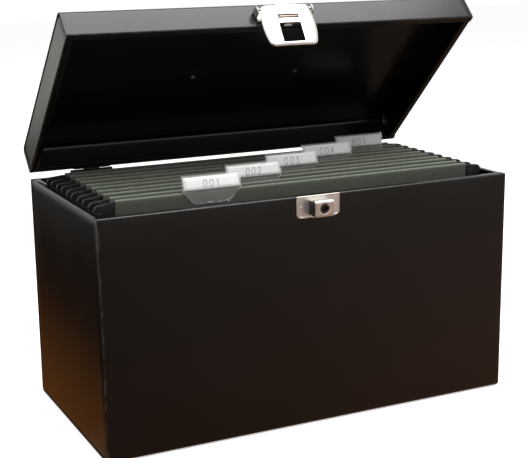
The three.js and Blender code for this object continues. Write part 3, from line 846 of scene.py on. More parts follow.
@dataclass
class Tray:
    """An open tray of two sheets: a wrapped front, floor and back, and a pan at each end."""

    prefix: str
    body: Body
    place: Matrix
    rim_up: int
    bend: float
    pan_corner: float
    sheet: float = 1.2 * MM
    rim_flange: float = 7 * MM
    rim_round: float = 1.3 * MM
    end_flange: float = 12 * MM
    gap: float = 0.3 * MM
    seam: float = 0.25 * MM
    notch: float = 3.0 * MM
    notch_ramp: float = 3.5 * MM
    notch_start: float = 1.2 * MM
    end_fold: float = 2.0 * MM
    bulge: float = 0.35 * MM
    bulge_fade: float = 40 * MM
    wall_step: float = 30 * MM
    floor_step: float = 25 * MM
    first_station: float = 6 * MM
    plain_station: float = 18 * MM

    def __post_init__(self) -> None:
        """Measures the tray in its own coordinates."""
        self.low, self.high = local_box(f"{self.prefix}_wrap", self.place)
        self.rim = self.high.z if self.rim_up > 0 else self.low.z
        self.floor = self.low.z if self.rim_up > 0 else self.high.z

    def build(self) -> None:
        """Makes the wrapped sheet and both pans."""
        self.build_wrap()
        for word, side in SIDES:
            self.build_pan(word, side)

    def build_wrap(self) -> None:
        """Bends one sheet into the front, the closed side and the back."""
        up, half_sheet = self.rim_up, self.sheet / 2
        front, back = self.low.y + half_sheet, self.high.y - half_sheet
        lip = self.rim - up * half_sheet
        flat = self.floor + up * half_sheet
        radius = self.bend - half_sheet
        bend_z = flat + up * radius
        top = rounded([(self.low.y + self.rim_flange, lip), (front, lip), (front, bend_z)], self.rim_round, 5)
        line = top[:-1] + dense([top[-2], (front, bend_z)], self.wall_step)[1:]
        line += arc((front + radius, bend_z), radius, 180, 180 + up * 90)[1:]
        line += dense([(front + radius, flat), (back - radius, flat)], self.floor_step)[1:]
        line += arc((back - radius, bend_z), radius, -up * 90, 0)[1:]
        tail = rounded([(back, bend_z), (back, lip), (self.high.y - self.rim_flange, lip)], self.rim_round, 5)
        line += dense([(back, bend_z), tail[1]], self.wall_step)[1:] + tail[2:]
        stations = [self.low.x, self.low.x + self.first_station]
        stations += spread(self.low.x + self.plain_station, self.high.x - self.plain_station, 19)
        stations += [self.high.x - self.first_station, self.high.x]
        rows = [[self.place @ self.swollen(x, y, z) for y, z in line] for x in stations]
        ends = {0, len(stations) - 1}
        folds = {i for i, (y, z) in enumerate(line) if self.on_fold(y, z)}

        def wear(row: int, column: int) -> float:
            """Returns more wear on the cut ends and the rolled rim."""
            return 1.0 if row in ends or column in folds else 0.1

        name = f"{self.prefix}_wrap"
        add_piece(f"{name}_sheet", grid(rows, wear), PAINT, self.body, [name], self.sheet)

    def on_fold(self, y: float, z: float) -> bool:
        """Returns whether a point of the profile lies on the rolled rim."""
        near_rim = abs(z - self.rim) < self.rim_round
        return near_rim and min(y - self.low.y, self.high.y - y) < self.rim_round

    def swollen(self, x: float, y: float, z: float) -> Vector:
        """Gives a point of the wrap, with the slow bulges that thin sheet has.

        Args:
            x: Its place across the tray.
            y: Its place from front to back.
            z: Its height.

        Returns:
            The point, moved along the sheet's normal away from the folds.
        """
        inset = self.bend + 4 * MM
        across = min(1.0, (self.high.x - abs(x)) / self.bulge_fade)
        push = self.bulge * across * noise.noise(Vector((x * 9, y * 11, z * 9 + self.rim_up)))
        if min(y - self.low.y, self.high.y - y) < self.sheet:
            tall = min(abs(z - self.rim), abs(z - self.floor)) > inset
            return Vector((x, y + (push if tall else 0.0), z))
        flat = abs(z - self.floor) < self.sheet and min(y - self.low.y, self.high.y - y) > inset
        return Vector((x, y, z + (push if flat else 0.0)))

    def build_pan(self, word: str, side: int) -> None:
        """Presses one end: a plate with round corners and a notched flange all round.

        Args:
            word: Which end.
            side: -1 for the left end and 1 for the right.
        """
        outer, skin, fold = self.high.x - self.seam, self.sheet / 2, self.end_fold
        rings: list[Ring] = []
        edge = self.pan_outline(skin)
        count = len(edge)
        for share in (1.0, 0.5):
            rings.append([Vector((side * (outer - fold - (d - fold) * share), y, z)) for y, z, d in edge])
        for degrees in (0, 30, 60, 90):
            turn = math.radians(degrees)
            reach = fold - skin
            inset = skin + reach * (1 - math.cos(turn))
            x = outer - fold + reach * math.sin(turn)
            rings.append([Vector((side * x, y, z)) for y, z, _ in self.pan_outline(inset)])
        rim = rings[-1]
        heart = Vector((rim[0].x, (self.high.y + self.low.y) / 2, (self.high.z + self.low.z) / 2))
        for share in (0.93, 0.8, 0.62, 0.42, 0.22, 0.06):
            rings.append([self.swollen_end(heart.lerp(point, share), 1 - share, side) for point in rim])
        shape = loft([[self.place @ point for point in ring] for ring in rings], False, True)
        worn_rings = {0: 0.8, 3: 0.95, 4: 0.95}
        shape.wear = [worn_rings.get(i // count, 0.1) for i in range(len(shape.points))]
        name = f"{self.prefix}_end_{word}"
        add_piece(f"{name}_pan", shape, PAINT, self.body, [name], self.sheet)

    def swollen_end(self, point: Vector, share: float, side: int) -> Vector:
        """Returns a point of an end plate, moved out or in by the slow bulge of thin sheet."""
        swell = noise.noise(Vector((point.y * 12, point.z * 12, side * 2.0)))
        return point + Vector((self.bulge * 1.5 * min(1.0, share * 2) * swell, 0, 0))

    def pan_outline(self, inset: float) -> list[tuple[float, float, float]]:
        """Gives the outline of an end, drawn in by a distance.

        Args:
            inset: How far inside the pan's outer faces the outline runs.

        Returns:
            Its points, each with the depth of the flange there, which is notched in the corners.
        """
        up, margin = self.rim_up, self.sheet + self.gap
        left, right = self.low.y + margin + inset, self.high.y - margin - inset
        top, low = self.rim - up * inset, self.floor + up * (margin + inset)
        corner = max(self.pan_corner - inset, 0.4 * MM)
        bend_z = low + up * corner
        line = self.pan_side((right, top), (left, top), self.rim_flange)
        line += self.pan_side((left, top), (left, bend_z), self.end_flange)
        near_bend = arc((left + corner, bend_z), corner, 180, 180 + up * 90, 7)
        line += [(y, z, self.notch) for y, z in near_bend[1:]]
        line += self.pan_side((left + corner, low), (right - corner, low), self.end_flange)
        far_bend = arc((right - corner, bend_z), corner, -up * 90, 0, 7)
        line += [(y, z, self.notch) for y, z in far_bend[1:]]
        return line + self.pan_side((right, bend_z), (right, top), self.end_flange)

    def pan_side(self, start: Point2, end: Point2, depth: float) -> list[tuple[float, float, float]]:
        """Gives one straight side of a pan's outline, without its first point.

        Args:
            start: Where it starts.
            end: Where it ends.
            depth: The depth of its flange.

        Returns:
            Its points, each with the flange's depth: full between two notched ends.
        """
        a, b = Vector(start), Vector(end)
        along, length, ramp = (b - a).normalized(), (b - a).length, self.notch_ramp
        places = [self.notch_start, *spread(ramp, length - ramp, 7), length - self.notch_start, length]
        depths = [self.notch] + [depth] * 7 + [self.notch] * 2
        return [(*(a + along * place), d) for place, d in zip(places, depths)]


# ---------------------------------------------------------------- hinges


@dataclass
class Hinge:
    """A back hinge: two leaves with rolled knuckles, a pin and pressed rivets."""

    word: str
    place: Matrix
    leaf: float = 1.2 * MM
    knuckle: float = 3.2 * MM
    wall_gap: float = 0.3 * MM
    leaf_reach: float = 21 * MM
    corner: float = 4 * MM
    bore: float = 1.75 * MM
    outer_share: float = 0.3
    knuckle_gap: float = 0.4 * MM
    rivet_reach: float = 0.33

    def build(self) -> None:
        """Makes both leaves and the pin."""
        axis = Vector(JOINTS["lid_hinge"]["pos_m"])
        leaves = (("body_leaf", -1, Body.CASE, Matrix()), ("lid_leaf", 1, Body.LID, self.place))
        for part, up, body, place in leaves:
            node = f"hinge_{self.word}_{part}"
            low, high = local_box(node, place)
            self.build_leaf(node, low, high, axis, up, body, place)
        self.build_pin(axis)

    def build_leaf(
        self, node: str, low: Vector, high: Vector, axis: Vector, up: int, body: Body, place: Matrix
    ) -> None:
        """Makes one leaf with its knuckles and rivets.

        Args:
            node: The node that it stands for.
            low: The node's lowest corner, in the coordinates it was drawn in.
            high: Its highest corner.
            axis: A point on the hinge line.
            up: 1 for the lid's leaf and -1 for the case's.
            body: The body that it rides on.
            place: What puts the coordinates where the leaf stands.
        """
        full_low, full_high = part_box(f"hinge_{self.word}_body_leaf")
        width = full_high.x - full_low.x
        centre_x = (low.x + high.x) / 2
        low_x, high_x = centre_x - width / 2, centre_x + width / 2
        outer, gap = width * self.outer_share, self.knuckle_gap
        if up < 0:
            spans = [(low_x, low_x + outer), (high_x - outer, high_x)]
        else:
            spans = [(low_x + outer + gap, high_x - outer - gap)]
        wall = local_box(f"{'body' if up < 0 else 'lid'}_wrap", place)[1].y
        plate_y = wall + self.wall_gap
        near, far = axis.z + up * 1.0 * MM, axis.z + up * self.leaf_reach
        tall = abs(far - near)
        outline = [(centre_x + u, (near + far) / 2 + v) for u, v in rectangle(width, tall, self.corner, 64)]
        upright = Matrix(((1, 0, 0, 0), (0, 0, 1, plate_y), (0, 1, 0, 0), (0, 0, 0, 1)))
        shape = prism(outline, self.leaf, upright)
        for x0, x1 in spans:
            shape = shape.plus(self.knuckle_tube(x0, x1, axis), self.knuckle_web(x0, x1, axis, plate_y, up))
        head = [(0, 2.9), (0.3, 2.8), (0.75, 2.1), (1.0, 1.0), (1.05, 0.01)]
        rivet = [(rise * MM, radius * MM) for rise, radius in head]
        for share in (-self.rivet_reach, 0.0, self.rivet_reach):
            foot = Vector((centre_x + share * width, plate_y + self.leaf * 0.9, near + up * tall * 0.68))
            shape = shape.plus(lathe(rivet, foot, Vector((0, 1, 0)), 24))
        shape.wear = [0.62] * len(shape.points)
        add_piece(f"{node}_rolled", shape.moved(place), PAINT, body, [node])

    def knuckle_tube(self, x0: float, x1: float, axis: Vector) -> Shape:
        """Rolls one knuckle.

        Args:
            x0: Where it starts.
            x1: Where it ends.
            axis: A point on the hinge line.

        Returns:
            A tube with a bore for the pin.
        """
        length, soft = x1 - x0, 0.3 * MM
        profile = [
            (0, self.bore), (0, self.knuckle - soft), (soft, self.knuckle),
            (length - soft, self.knuckle), (length, self.knuckle - soft), (length, self.bore),
        ]
        start = Vector((x0, axis.y, axis.z))
        whole = lathe(profile + [profile[0]], start, Vector((1, 0, 0)), 28)
        return Shape(whole.points, whole.faces[:-2], whole.wear)

    def knuckle_web(self, x0: float, x1: float, axis: Vector, plate_y: float, up: int) -> Shape:
        """Joins a knuckle to its leaf.

        Args:
            x0: Where it starts.
            x1: Where it ends.
            axis: A point on the hinge line.
            plate_y: The back face that the leaf lies on.
            up: 1 for the lid's leaf and -1 for the case's.

        Returns:
            A bent strip.
        """
        foot = axis.z + up * (self.knuckle + 2.5 * MM)
        outline = [
            (plate_y + 0.1 * MM, foot), (plate_y + self.leaf, foot + up * 0.3 * MM),
            (axis.y - 0.5 * MM, axis.z + up * (self.knuckle - 0.2 * MM)),
            (axis.y - self.knuckle + 0.5 * MM, axis.z + up * 1.2 * MM),
        ]
        along = Matrix(((0, 0, 1, x0), (1, 0, 0, 0), (0, 1, 0, 0), (0, 0, 0, 1)))
        return prism(outline, x1 - x0, along)

    def build_pin(self, axis: Vector) -> None:
        """Makes the pin, with a domed head at each end."""
        node = f"hinge_{self.word}_pin"
        low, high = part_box(node)
        length, radius, dome = high.x - low.x, (high.z - low.z) / 2, 0.5 * MM
        profile = [(0, 0.02 * MM), (0.12 * MM, radius * 0.6), (dome, radius)]
        profile += [(length - dome, radius), (length - 0.12 * MM, radius * 0.6), (length, 0.02 * MM)]
        shape = lathe(profile, Vector((low.x, axis.y, axis.z)), Vector((1, 0, 0)), 24)
        add_piece(f"{node}_turned", shape, ZINC, Body.CASE, [node], edge=None)


# ---------------------------------------------------------------- lock


@dataclass
class Lock:
    """The lock on the case's front: hemmed plate, boss, cylinder, bolt and what holds them."""

    hem: float = 1.3 * MM
    hem_rise: float = 0.35 * MM
    plate_corner: float = 4.6 * MM
    boss_round: float = 0.7 * MM
    boss_bevel: float = 1.0 * MM
    side_border: float = 0.9 * MM
    key_radius: float = 2.4 * MM
    key_reach: float = 3.9 * MM
    key_half: float = 1.0 * MM
    key_depth: float = 3.6 * MM
    cylinder_deep: float = 5.0 * MM
    bore_gap: float = 0.12 * MM
    cam_reach: float = 1.6 * MM
    cam_radius: float = 1.0 * MM
    post_radius: float = 0.9 * MM
    lip_half: float = 6.5 * MM
    around: int = 72

    def build(self) -> None:
        """Makes the seen parts anew and finishes the hidden ones."""
        self.build_plate()
        self.build_boss()
        self.build_cylinder()
        for node in ("lock_bolt", "lock_backplate"):
            refine(node, ZINC)
        for word, _ in SIDES:
            refine(f"lock_stud_{word}", PLATE_NICKEL, Edge(0.05 * MM, 1))

    def build_plate(self) -> None:
        """Presses the plate, with a raised hem all round and a small lip along its foot."""
        low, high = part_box("lock_plate")
        width, tall = high.x - low.x, high.z - low.z
        middle_z = (high.z + low.z) / 2
        face = low.y + self.hem_rise
        rings = []
        for inset, y in (
            (0.15 * MM, high.y), (0, high.y - 0.15 * MM), (0, low.y + 0.25 * MM), (0.25 * MM, low.y),
            (self.hem - 0.3 * MM, low.y), (self.hem, face), (self.hem * 2, face),
        ):
            corner = max(self.plate_corner - inset, 0.6 * MM)
            outline = self.plate_outline(width - 2 * inset, tall - 2 * inset, corner)
            rings.append([Vector((u, y, middle_z + v)) for u, v in outline])
        shape = loft(rings)
        shape.wear = [0.3] * len(shape.points)
        add_piece("lock_plate_pressed", shape, PLATE_NICKEL, Body.CASE, ["lock_plate"], edge=None)
        lip_z = low.z + 0.25 * MM
        reach = (high.y - 0.3 * MM, low.y - 1.6 * MM)
        rows = [[Vector((x, y, lip_z)) for y in reach] for x in spread(-self.lip_half, self.lip_half, 7)]
        add_piece("lock_plate_lip", grid(rows), NICKEL, Body.CASE, sheet=0.7 * MM)

    def plate_outline(self, width: float, tall: float, corner: float) -> list[Point2]:
        """Gives the plate's outline: square at the top and round at the foot.

        Args:
            width: Its width.
            tall: Its height.
            corner: The radius of the lower corners.

        Returns:
            The outline's points.
        """
        half, high = width / 2, tall / 2
        line = arc((-half + corner, -high + corner), corner, 180, 270, 10)
        line += arc((half - corner, -high + corner), corner, 270, 360, 10)
        line += arc((half - 0.5 * MM, high - 0.5 * MM), 0.5 * MM, 0, 90, 4)
        line += arc((-half + 0.5 * MM, high - 0.5 * MM), 0.5 * MM, 90, 180, 4)
        return line

    def build_boss(self) -> None:
        """Makes the boss, bevelled along its top front edge and bored, with a dark panel of painted shade on
        each side.
        """
        low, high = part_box("lock_case")
        axle_low, axle_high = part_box("lock_cylinder")
        bore = (axle_high.x - axle_low.x) / 2 + self.bore_gap
        centre_z = Vector(JOINTS["key_turn"]["pos_m"]).z
        width, tall = high.x - low.x, high.z - low.z
        middle = (high.z + low.z) / 2
        rings = []
        for grow, y in ((-0.3 * MM, high.y), (0.0, high.y - 0.3 * MM), (0.0, low.y + self.boss_bevel)):
            outline = rectangle(width + 2 * grow, tall + 2 * grow, self.boss_round, self.around)
            rings.append([Vector((u, y, middle + v)) for u, v in outline])
        for inset, y in ((0.0, low.y + 0.45 * MM), (0.14 * MM, low.y + 0.14 * MM), (0.45 * MM, low.y)):
            cut = self.boss_bevel - 0.45 * MM + inset
            outline = rectangle(width - 2 * inset, tall - inset - cut, self.boss_round, self.around)
            rings.append([Vector((u, y, middle + v + (inset - cut) / 2)) for u, v in outline])
        for radius, y in (
            (bore + 0.55 * MM, low.y), (bore + 0.12 * MM, low.y + 0.1 * MM), (bore, low.y + 0.3 * MM),
            (bore, low.y + self.cylinder_deep),
        ):
            rings.append([Vector((u, y, centre_z + v)) for u, v in circle(radius, self.around)])
        shape = loft(rings)
        shape.wear = [0.4] * len(shape.points)
        add_piece("lock_case_boss", shape, LOCK_NICKEL, Body.CASE, ["lock_case"], edge=None)
        # Painted shade: a thin dark sheet just outside each side of the boss stands in for the shade on it.
        for word, side in SIDES:
            x = side * (high.x + 0.1 * MM)
            border = self.side_border
            depths = spread(low.y + 1.5 * border, high.y - 0.1 * MM, 4)
            heights = spread(low.z + border, high.z - border, 4)
            panel = grid([[Vector((x, y, z)) for y in depths] for z in heights])
            add_piece(f"lock_case_shade_panel_{word}", panel, SIDE_SHADE_PANEL, Body.CASE, sheet=0.15 * MM, edge=None)

    def key_outline(self, grow: float = 0.0) -> list[Point2]:
        """Gives the keyhole: a round with a slot to one side.

        Args:
            grow: How far outside the keyhole the outline runs.

        Returns:
            The outline's points, matched by angle to a circle's.
        """
        radius, reach, half = self.key_radius + grow, self.key_reach + grow * 0.5, self.key_half + grow
        result = []
        for k in range(self.around):
            angle = math.tau * k / self.around
            c, s = math.cos(angle), math.sin(angle)
            slot = min(reach / c, half / max(abs(s), 1e-6)) if c > 0 else 0.0
            far = max(radius, slot)
            result.append((far * c, far * s))
        return result

    def build_cylinder(self) -> None:
        """Turns the cylinder, with its keyhole, a centre post and the cam pin at its back."""
        low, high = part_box("lock_cylinder")
        centre = Vector(JOINTS["key_turn"]["pos_m"])
        radius = (high.x - low.x) / 2
        back = low.y + self.cylinder_deep
        outlines = [
            (circle(radius - 0.2 * MM, self.around), back),
            (circle(radius, self.around), back - 0.2 * MM),
            (circle(radius, self.around), low.y + 0.25 * MM),
            (circle(radius - 0.25 * MM, self.around), low.y),
            (self.key_outline(0.12 * MM), low.y),
            (self.key_outline(), low.y + 0.15 * MM),
            (self.key_outline(), low.y + self.key_depth),
        ]
        rings = [[Vector((u, y, centre.z + v)) for u, v in outline] for outline, y in outlines]
        shape = loft(rings)
        post_start = Vector((0, low.y + self.key_depth + 0.05 * MM, centre.z))
        tip = self.key_depth - 0.9 * MM
        post_line = [(0, self.post_radius), (tip - 0.3 * MM, self.post_radius), (tip, 0.5 * MM)]
        post = lathe(post_line, post_start, Vector((0, -1, 0)), 20)
        cam_start = Vector((-self.cam_reach, back - 0.1 * MM, centre.z - self.cam_reach))
        cam_line = [(0, self.cam_radius), (1.7 * MM, self.cam_radius), (1.9 * MM, 0.8 * MM)]
        whole = shape.plus(post, lathe(cam_line, cam_start, Vector((0, 1, 0)), 20))
        add_piece("lock_cylinder_turned", whole, CORE, Body.CYLINDER, ["lock_cylinder"], edge=None)


# ---------------------------------------------------------------- hasp


@dataclass
class Hasp:
    """The hasp on the lid: a pressed, barrel-sided plate on a pin between two ears."""

    place: Matrix
    lean: float = math.radians(11.802)
    sheet: float = 1.2 * MM
    pad_half: float = 10.3 * MM
    pad_rise: float = 0.9 * MM
    slot_tall: float = 3.6 * MM
    slot_high: float = 8.3 * MM
    edge_roll: float = 2.4 * MM
    edge_drop: float = 1.2 * MM
    window_half: float = 11.1 * MM
    window_below: float = 3.0 * MM
    window_above: float = 1.4 * MM
    foot_half: float = 23.25 * MM
    head_half: float = 23.5 * MM
    foot_round: float = 4.2 * MM
    dome: float = 0.9 * MM
    plain: float = -1.8 * MM
    knuckle_half: float = 15 * MM
    knuckle_radius: float = 2.4 * MM
    strike_half: float = 4 * MM
    strike_back: float = 2.2 * MM

    def __post_init__(self) -> None:
        """Finds the plate's own coordinates, which have the pin as their origin."""
        lid = self.place
        pin = lid.inverted() @ Vector(JOINTS["hasp_hinge"]["pos_m"])
        self.pin = pin
        self.own = lid @ Matrix.Translation(pin) @ Matrix.Rotation(self.lean, 4, "X")
        self.low, self.high = local_box("hasp_plate", self.own)

    def half_width(self, z: float) -> float:
        """Returns half the plate's width at a height, which is greatest near the middle."""
        t = (z - self.low.z) / (self.high.z - self.low.z)
        ends = self.foot_half * (1 - t) + self.head_half * t
        belly = self.high.x - 23.4 * MM
        side = ends + belly * 4 * t * (1 - t)
        radius = self.foot_round
        for near in (z - self.low.z, (self.high.z - z) * 1.6):
            if near < radius:
                side -= radius - math.sqrt(max(0.0, radius**2 - (radius - near) ** 2))
        return side

    def build(self) -> None:
        """Makes the plate, bracket, pin and rivets."""
        self.build_plate()
        self.build_bracket()
        refine("hasp_pin", ZINC, Edge(0.35 * MM, 3))
        for word, _ in SIDES:
            refine(f"hasp_rivet_{word}", ZINC, Edge(0.4 * MM, 3))

    def front(self, x: float, z: float) -> float:
        """Gives the plate's relief, in front of its plain face.

        Args:
            x: The place across the plate.
            z: The height.

        Returns:
            How far the face stands forward there.
        """
        side = self.half_width(z)
        near = min(side - abs(x), (z - self.low.z) * 1.0, (self.high.z - z) * 1.3)
        roll = max(0.0, 1 - near / self.edge_roll)
        rise = self.dome * (1 - (x / self.high.x) ** 2) - self.edge_drop * roll**2
        slot_z = self.window_top + self.slot_high
        if abs(x) <= self.pad_half + 0.01 * MM and z >= slot_z - 0.01 * MM:
            rise += self.pad_rise
        return rise

    def build_plate(self) -> None:
        """Presses the plate: domed, rolled at its edges, with a raised tongue, a slot and the window."""
        low_z, top_z = self.window()
        self.window_top = top_z
        slot_z = top_z + self.slot_high - self.slot_tall
        slot_top = top_z + self.slot_high
        heights = spread(self.low.z, low_z, 9)
        heights += [low_z + 0.9 * MM] + spread(low_z + 0.9 * MM, top_z - 0.9 * MM, 8)[1:] + [top_z]
        heights += spread(top_z, slot_z, 6)[1:]
        heights += [slot_top] + [slot_top + 0.5 * MM]
        heights += spread(slot_top + 0.5 * MM, self.high.z - 2.6 * MM, 6)[1:]
        heights += spread(self.high.z - 2.6 * MM, self.high.z, 7)[1:]
        pad = self.pad_half
        inner = [0.0, 3.5 * MM, 7 * MM, pad - 0.5 * MM, pad, pad + 0.45 * MM, self.window_half]
        shares = (0.25, 0.5, 0.72, 0.86, 0.94, 1.0)
        rows = []
        for z in heights:
            side = self.half_width(z)
            xs = inner + [self.window_half + (side - self.window_half) * s for s in shares]
            xs = [-x for x in reversed(xs[1:])] + xs
            rows.append([self.own @ Vector((x, self.plain - self.front(x, z), z)) for x in xs])
        columns = [-x for x in reversed(inner[1:])] + inner
        offset = len(shares)

        def opening(row: int, column: int) -> bool:
            """Returns whether a cell lies in the window or the slot."""
            k = column - offset
            if not 0 <= k < len(columns) - 1:
                return False
            z = (heights[row] + heights[row + 1]) / 2
            x = abs(columns[k] + columns[k + 1]) / 2
            in_window = low_z < z < top_z
            in_slot = slot_z < z < slot_top and x < self.pad_half - 0.2 * MM
            return in_window or in_slot

        last = len(rows[0]) - 1

        def wear(row: int, column: int) -> float:
            """Returns more wear along the plate's outline."""
            return 1.0 if column in (0, last) or row in (0, len(rows) - 1) else 0.2

        plate = grid(rows, wear, opening)
        thin, soft = self.sheet * 0.75, Edge(0.18 * MM, 2, 35.0)
        add_piece("hasp_plate_pressed", plate, NICKEL, Body.HASP, ["hasp_plate"], thin, soft)
        self.build_knuckle()
        self.build_slot(slot_z, slot_top)
        # Painted shadow: dark strips beside the raised tongue stand in for the shadow of its step.
        self.build_step_shadow("left", -pad - 0.5 * MM, slot_z + 0.4 * MM, self.high.z - 1.2 * MM)
        self.build_step_shadow("right", pad + 0.5 * MM, slot_top + 5 * MM, self.high.z - 1.6 * MM)
        self.build_strike()

    def window(self) -> tuple[float, float]:
        """Finds the window's lower and upper edge from the lock case that it fits over.

        Returns:
            The two heights, in the plate's own coordinates.
        """
        boss_low, boss_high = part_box("lock_case")
        scale = math.cos(self.lean)
        low = -(self.pin.z - boss_low.z + self.window_below) / scale
        top = -(self.pin.z - boss_high.z - self.window_above) / scale
        return low, top

    def build_knuckle(self) -> None:
        """Rolls the knuckle that turns on the pin."""
        half, radius, soft, bore = self.knuckle_half, self.knuckle_radius, 0.3 * MM, 1.3 * MM
        profile = [
            (0, bore), (0, radius - soft), (soft, radius), (2 * half - soft, radius),
            (2 * half, radius - soft), (2 * half, bore), (0, bore),
        ]
        knuckle = lathe(profile, Vector((-half, 0, 0)), Vector((1, 0, 0)), 28)
        knuckle = Shape(knuckle.points, knuckle.faces[:-2], knuckle.wear).moved(self.own)
        add_piece("hasp_knuckle", knuckle, NICKEL, Body.HASP, edge=None)

    def build_slot(self, slot_z: float, slot_top: float) -> None:
        """Closes the slot with a dark floor of painted shade and lays the tongue's rolled lip in it, tinted
        brown as a painted reflection.

        Args:
            slot_z: The height of the slot's lower edge.
            slot_top: The height of its upper edge.
        """
        # Painted shade: a near-black sheet behind the slot stands in for the shade in the recess.
        floor_y, wide = self.plain + 0.35 * MM, self.pad_half + 0.6 * MM
        heights = (slot_top + 0.9 * MM, slot_z - 0.9 * MM)
        rows = [[self.own @ Vector((x, floor_y, z)) for z in heights] for x in spread(-wide, wide, 7)]
        add_piece("hasp_slot_floor", grid(rows), PAINTED_SHADE, Body.HASP, sheet=0.4 * MM, edge=None)
        # Painted reflection: the lip's plating is tinted brown to stand in for a brown reflection.
        thick = (self.slot_tall - 1.3 * MM) / 2
        middle = (slot_z + slot_top) / 2
        reach, soft = self.pad_half - 0.7 * MM, 0.3 * MM
        profile = [(0, thick * 0.6), (soft, thick), (2 * reach - soft, thick), (2 * reach, thick * 0.6)]
        bar = lathe(profile, Vector((-reach, self.plain - 0.7 * MM, middle)), Vector((1, 0, 0)), 20)
        add_piece("hasp_tongue_lip", bar.moved(self.own), LIP_PAINTED_REFLECTION, Body.HASP, edge=None)

    def build_step_shadow(self, word: str, x: float, low: float, high: float) -> None:
        """Draws a dark strip of painted shadow beside the raised tongue, where its step would cast shade.

        Args:
            word: Which side it is on.
            x: Its place across the plate.
            low: The height that it starts at.
            high: The height that it ends at.
        """
        # Painted shadow: a thin dark strip a little in front of the face.
        rows = []
        for z in spread(low, high, 7):
            thin = 0.28 * MM * (1 - 0.5 * (z - low) / (high - low))
            y = self.plain - self.front(x, z) - 0.5 * MM
            rows.append([self.own @ Vector((x + u, y, z)) for u in (-thin, 0.0, thin)])
        add_piece(f"hasp_step_shadow_{word}", grid(rows), PAINTED_SHADE, Body.HASP, sheet=0.06 * MM, edge=None)

    def build_strike(self) -> None:
        """Bends the strike: a lip behind the window's upper edge that ends just above the boss."""
        front, back, top = self.plain + 0.4 * MM, self.strike_back, self.window_top
        line = rounded([(top + 0.6 * MM, front), (top + 0.6 * MM, back), (top - 0.7 * MM, back)], 0.5 * MM, 4)
        rows = []
        for x in spread(-self.strike_half, self.strike_half, 5):
            rows.append([self.own @ Vector((x, y, z)) for z, y in line])
        add_piece("hasp_strike", grid(rows), NICKEL, Body.HASP, sheet=1.0 * MM)

    def build_bracket(self) -> None:
        """Bends the bracket: a plate on the skirt and an ear at each end of the pin."""
        low, high = local_box("hasp_bracket", self.place)
        half_sheet = 0.6 * MM
        edge_x = high.x - half_sheet
        back = high.y - half_sheet
        ear_low = self.pin.z - 4.5 * MM
        line = rounded([(-edge_x, low.y), (-edge_x, back), (edge_x, back), (edge_x, low.y)], 1.4 * MM, 4)
        line = dense(line, 8 * MM)
        heights = [low.z, low.z + 1.5 * MM, ear_low, *spread(ear_low, high.z, 5)[1:]]
        rows = []
        for z in heights:
            middle = (ear_low + high.z) / 2
            far = 1 - ((z - middle) / ((high.z - ear_low) / 2)) ** 2
            nearest = low.y + 1.6 * MM * (1 - max(0.0, far))
            cut = [(x, max(y, nearest) if abs(x) > edge_x - 0.1 * MM else y) for x, y in line]
            rows.append([self.place @ Vector((x, y, z)) for x, y in cut])
        is_ear = [y < back - 0.2 * MM for _, y in line]

        def below_ear(row: int, column: int) -> bool:
            """Returns whether a cell lies under an ear, where the sheet is cut away."""
            return row < 2 and (is_ear[column] or is_ear[column + 1])

        bent = grid(rows, skip=below_ear)
        add_piece("hasp_bracket_bent", bent, ZINC, Body.LID, ["hasp_bracket"], 2 * half_sheet)


# ---------------------------------------------------------------- handle


@dataclass
class Handle:
    """The carrying handle: a bent wire with a ribbed grip, held by two clips."""

    place: Matrix
    corner: float = 7 * MM
    rib_pitch: float = 3.8 * MM
    rib_depth: float = 0.45 * MM
    bore: float = 2.6 * MM
    collar: float = 5 * MM
    pivot_round: float = 2.4 * MM
    end_inset: float = 1 * MM

    def build(self) -> None:
        """Makes the wire and the grip and finishes the clips and spreaders."""
        low, high = local_box("handle_bail", self.place)
        radius = (high.z - low.z) / 2
        axis_z = (high.z + low.z) / 2
        pivot = self.place.inverted() @ Vector(JOINTS["handle_fold"]["pos_m"])
        clip_low, _ = local_box("handle_clip_right", self.place)
        end_x = clip_low.x - self.end_inset
        leg_x, bar_y = high.x - radius, high.y - radius
        corners = [(end_x, pivot.y), (leg_x, pivot.y), (leg_x, bar_y), (0.0, bar_y)]
        half = rounded(corners, self.pivot_round, 5)
        bar = rounded(corners[1:], self.corner, 8)
        half = half[:7] + bar[1:]
        line = half + [(-x, y) for x, y in reversed(half[:-1])]
        path = [Vector((x, y, axis_z)) for x, y in line]
        wire = tube(path, radius).moved(self.place)
        add_piece("handle_bail_bent", wire, ZINC, Body.HANDLE, ["handle_bail"], edge=None)
        self.build_grip(bar_y, axis_z)
        for word, _ in SIDES:
            refine(f"handle_clip_{word}", ZINC, Edge(0.5 * MM, 3))
            refine(f"handle_spreader_{word}", PAINT, Edge(0.4 * MM, 3))

    def build_grip(self, bar_y: float, axis_z: float) -> None:
        """Turns the grip, with a rounded end at each side and ribs between them.

        Args:
            bar_y: Where the wire's bar runs.
            axis_z: The height of its middle.
        """
        low, high = local_box("handle_grip", self.place)
        length, radius, collar = high.x - low.x, (high.z - low.z) / 2, self.collar
        nose = [(0, radius - 0.9 * MM), (0.25 * MM, radius - 0.35 * MM), (0.8 * MM, radius)]
        profile = [(0, self.bore), *nose, (collar, radius)]
        steps = round((length - 2 * collar) / self.rib_pitch * 6)
        for k in range(1, steps):
            x = collar + (length - 2 * collar) * k / steps
            wave = 0.5 - 0.5 * math.cos(math.tau * (x - collar) / self.rib_pitch)
            profile.append((x, radius - self.rib_depth * wave))
        profile.append((length - collar, radius))
        profile += [(length - x, r) for x, r in reversed(nose)]
        profile += [(length, self.bore), (0, self.bore)]
        whole = lathe(profile, Vector((low.x, bar_y, axis_z)), Vector((1, 0, 0)), 32)
        shape = Shape(whole.points, whole.faces[:-2], [0.5] * len(whole.points)).moved(self.place)
        add_piece("handle_grip_ribbed", shape, PLASTIC, Body.HANDLE, ["handle_grip"], edge=None)


# ---------------------------------------------------------------- hanging files

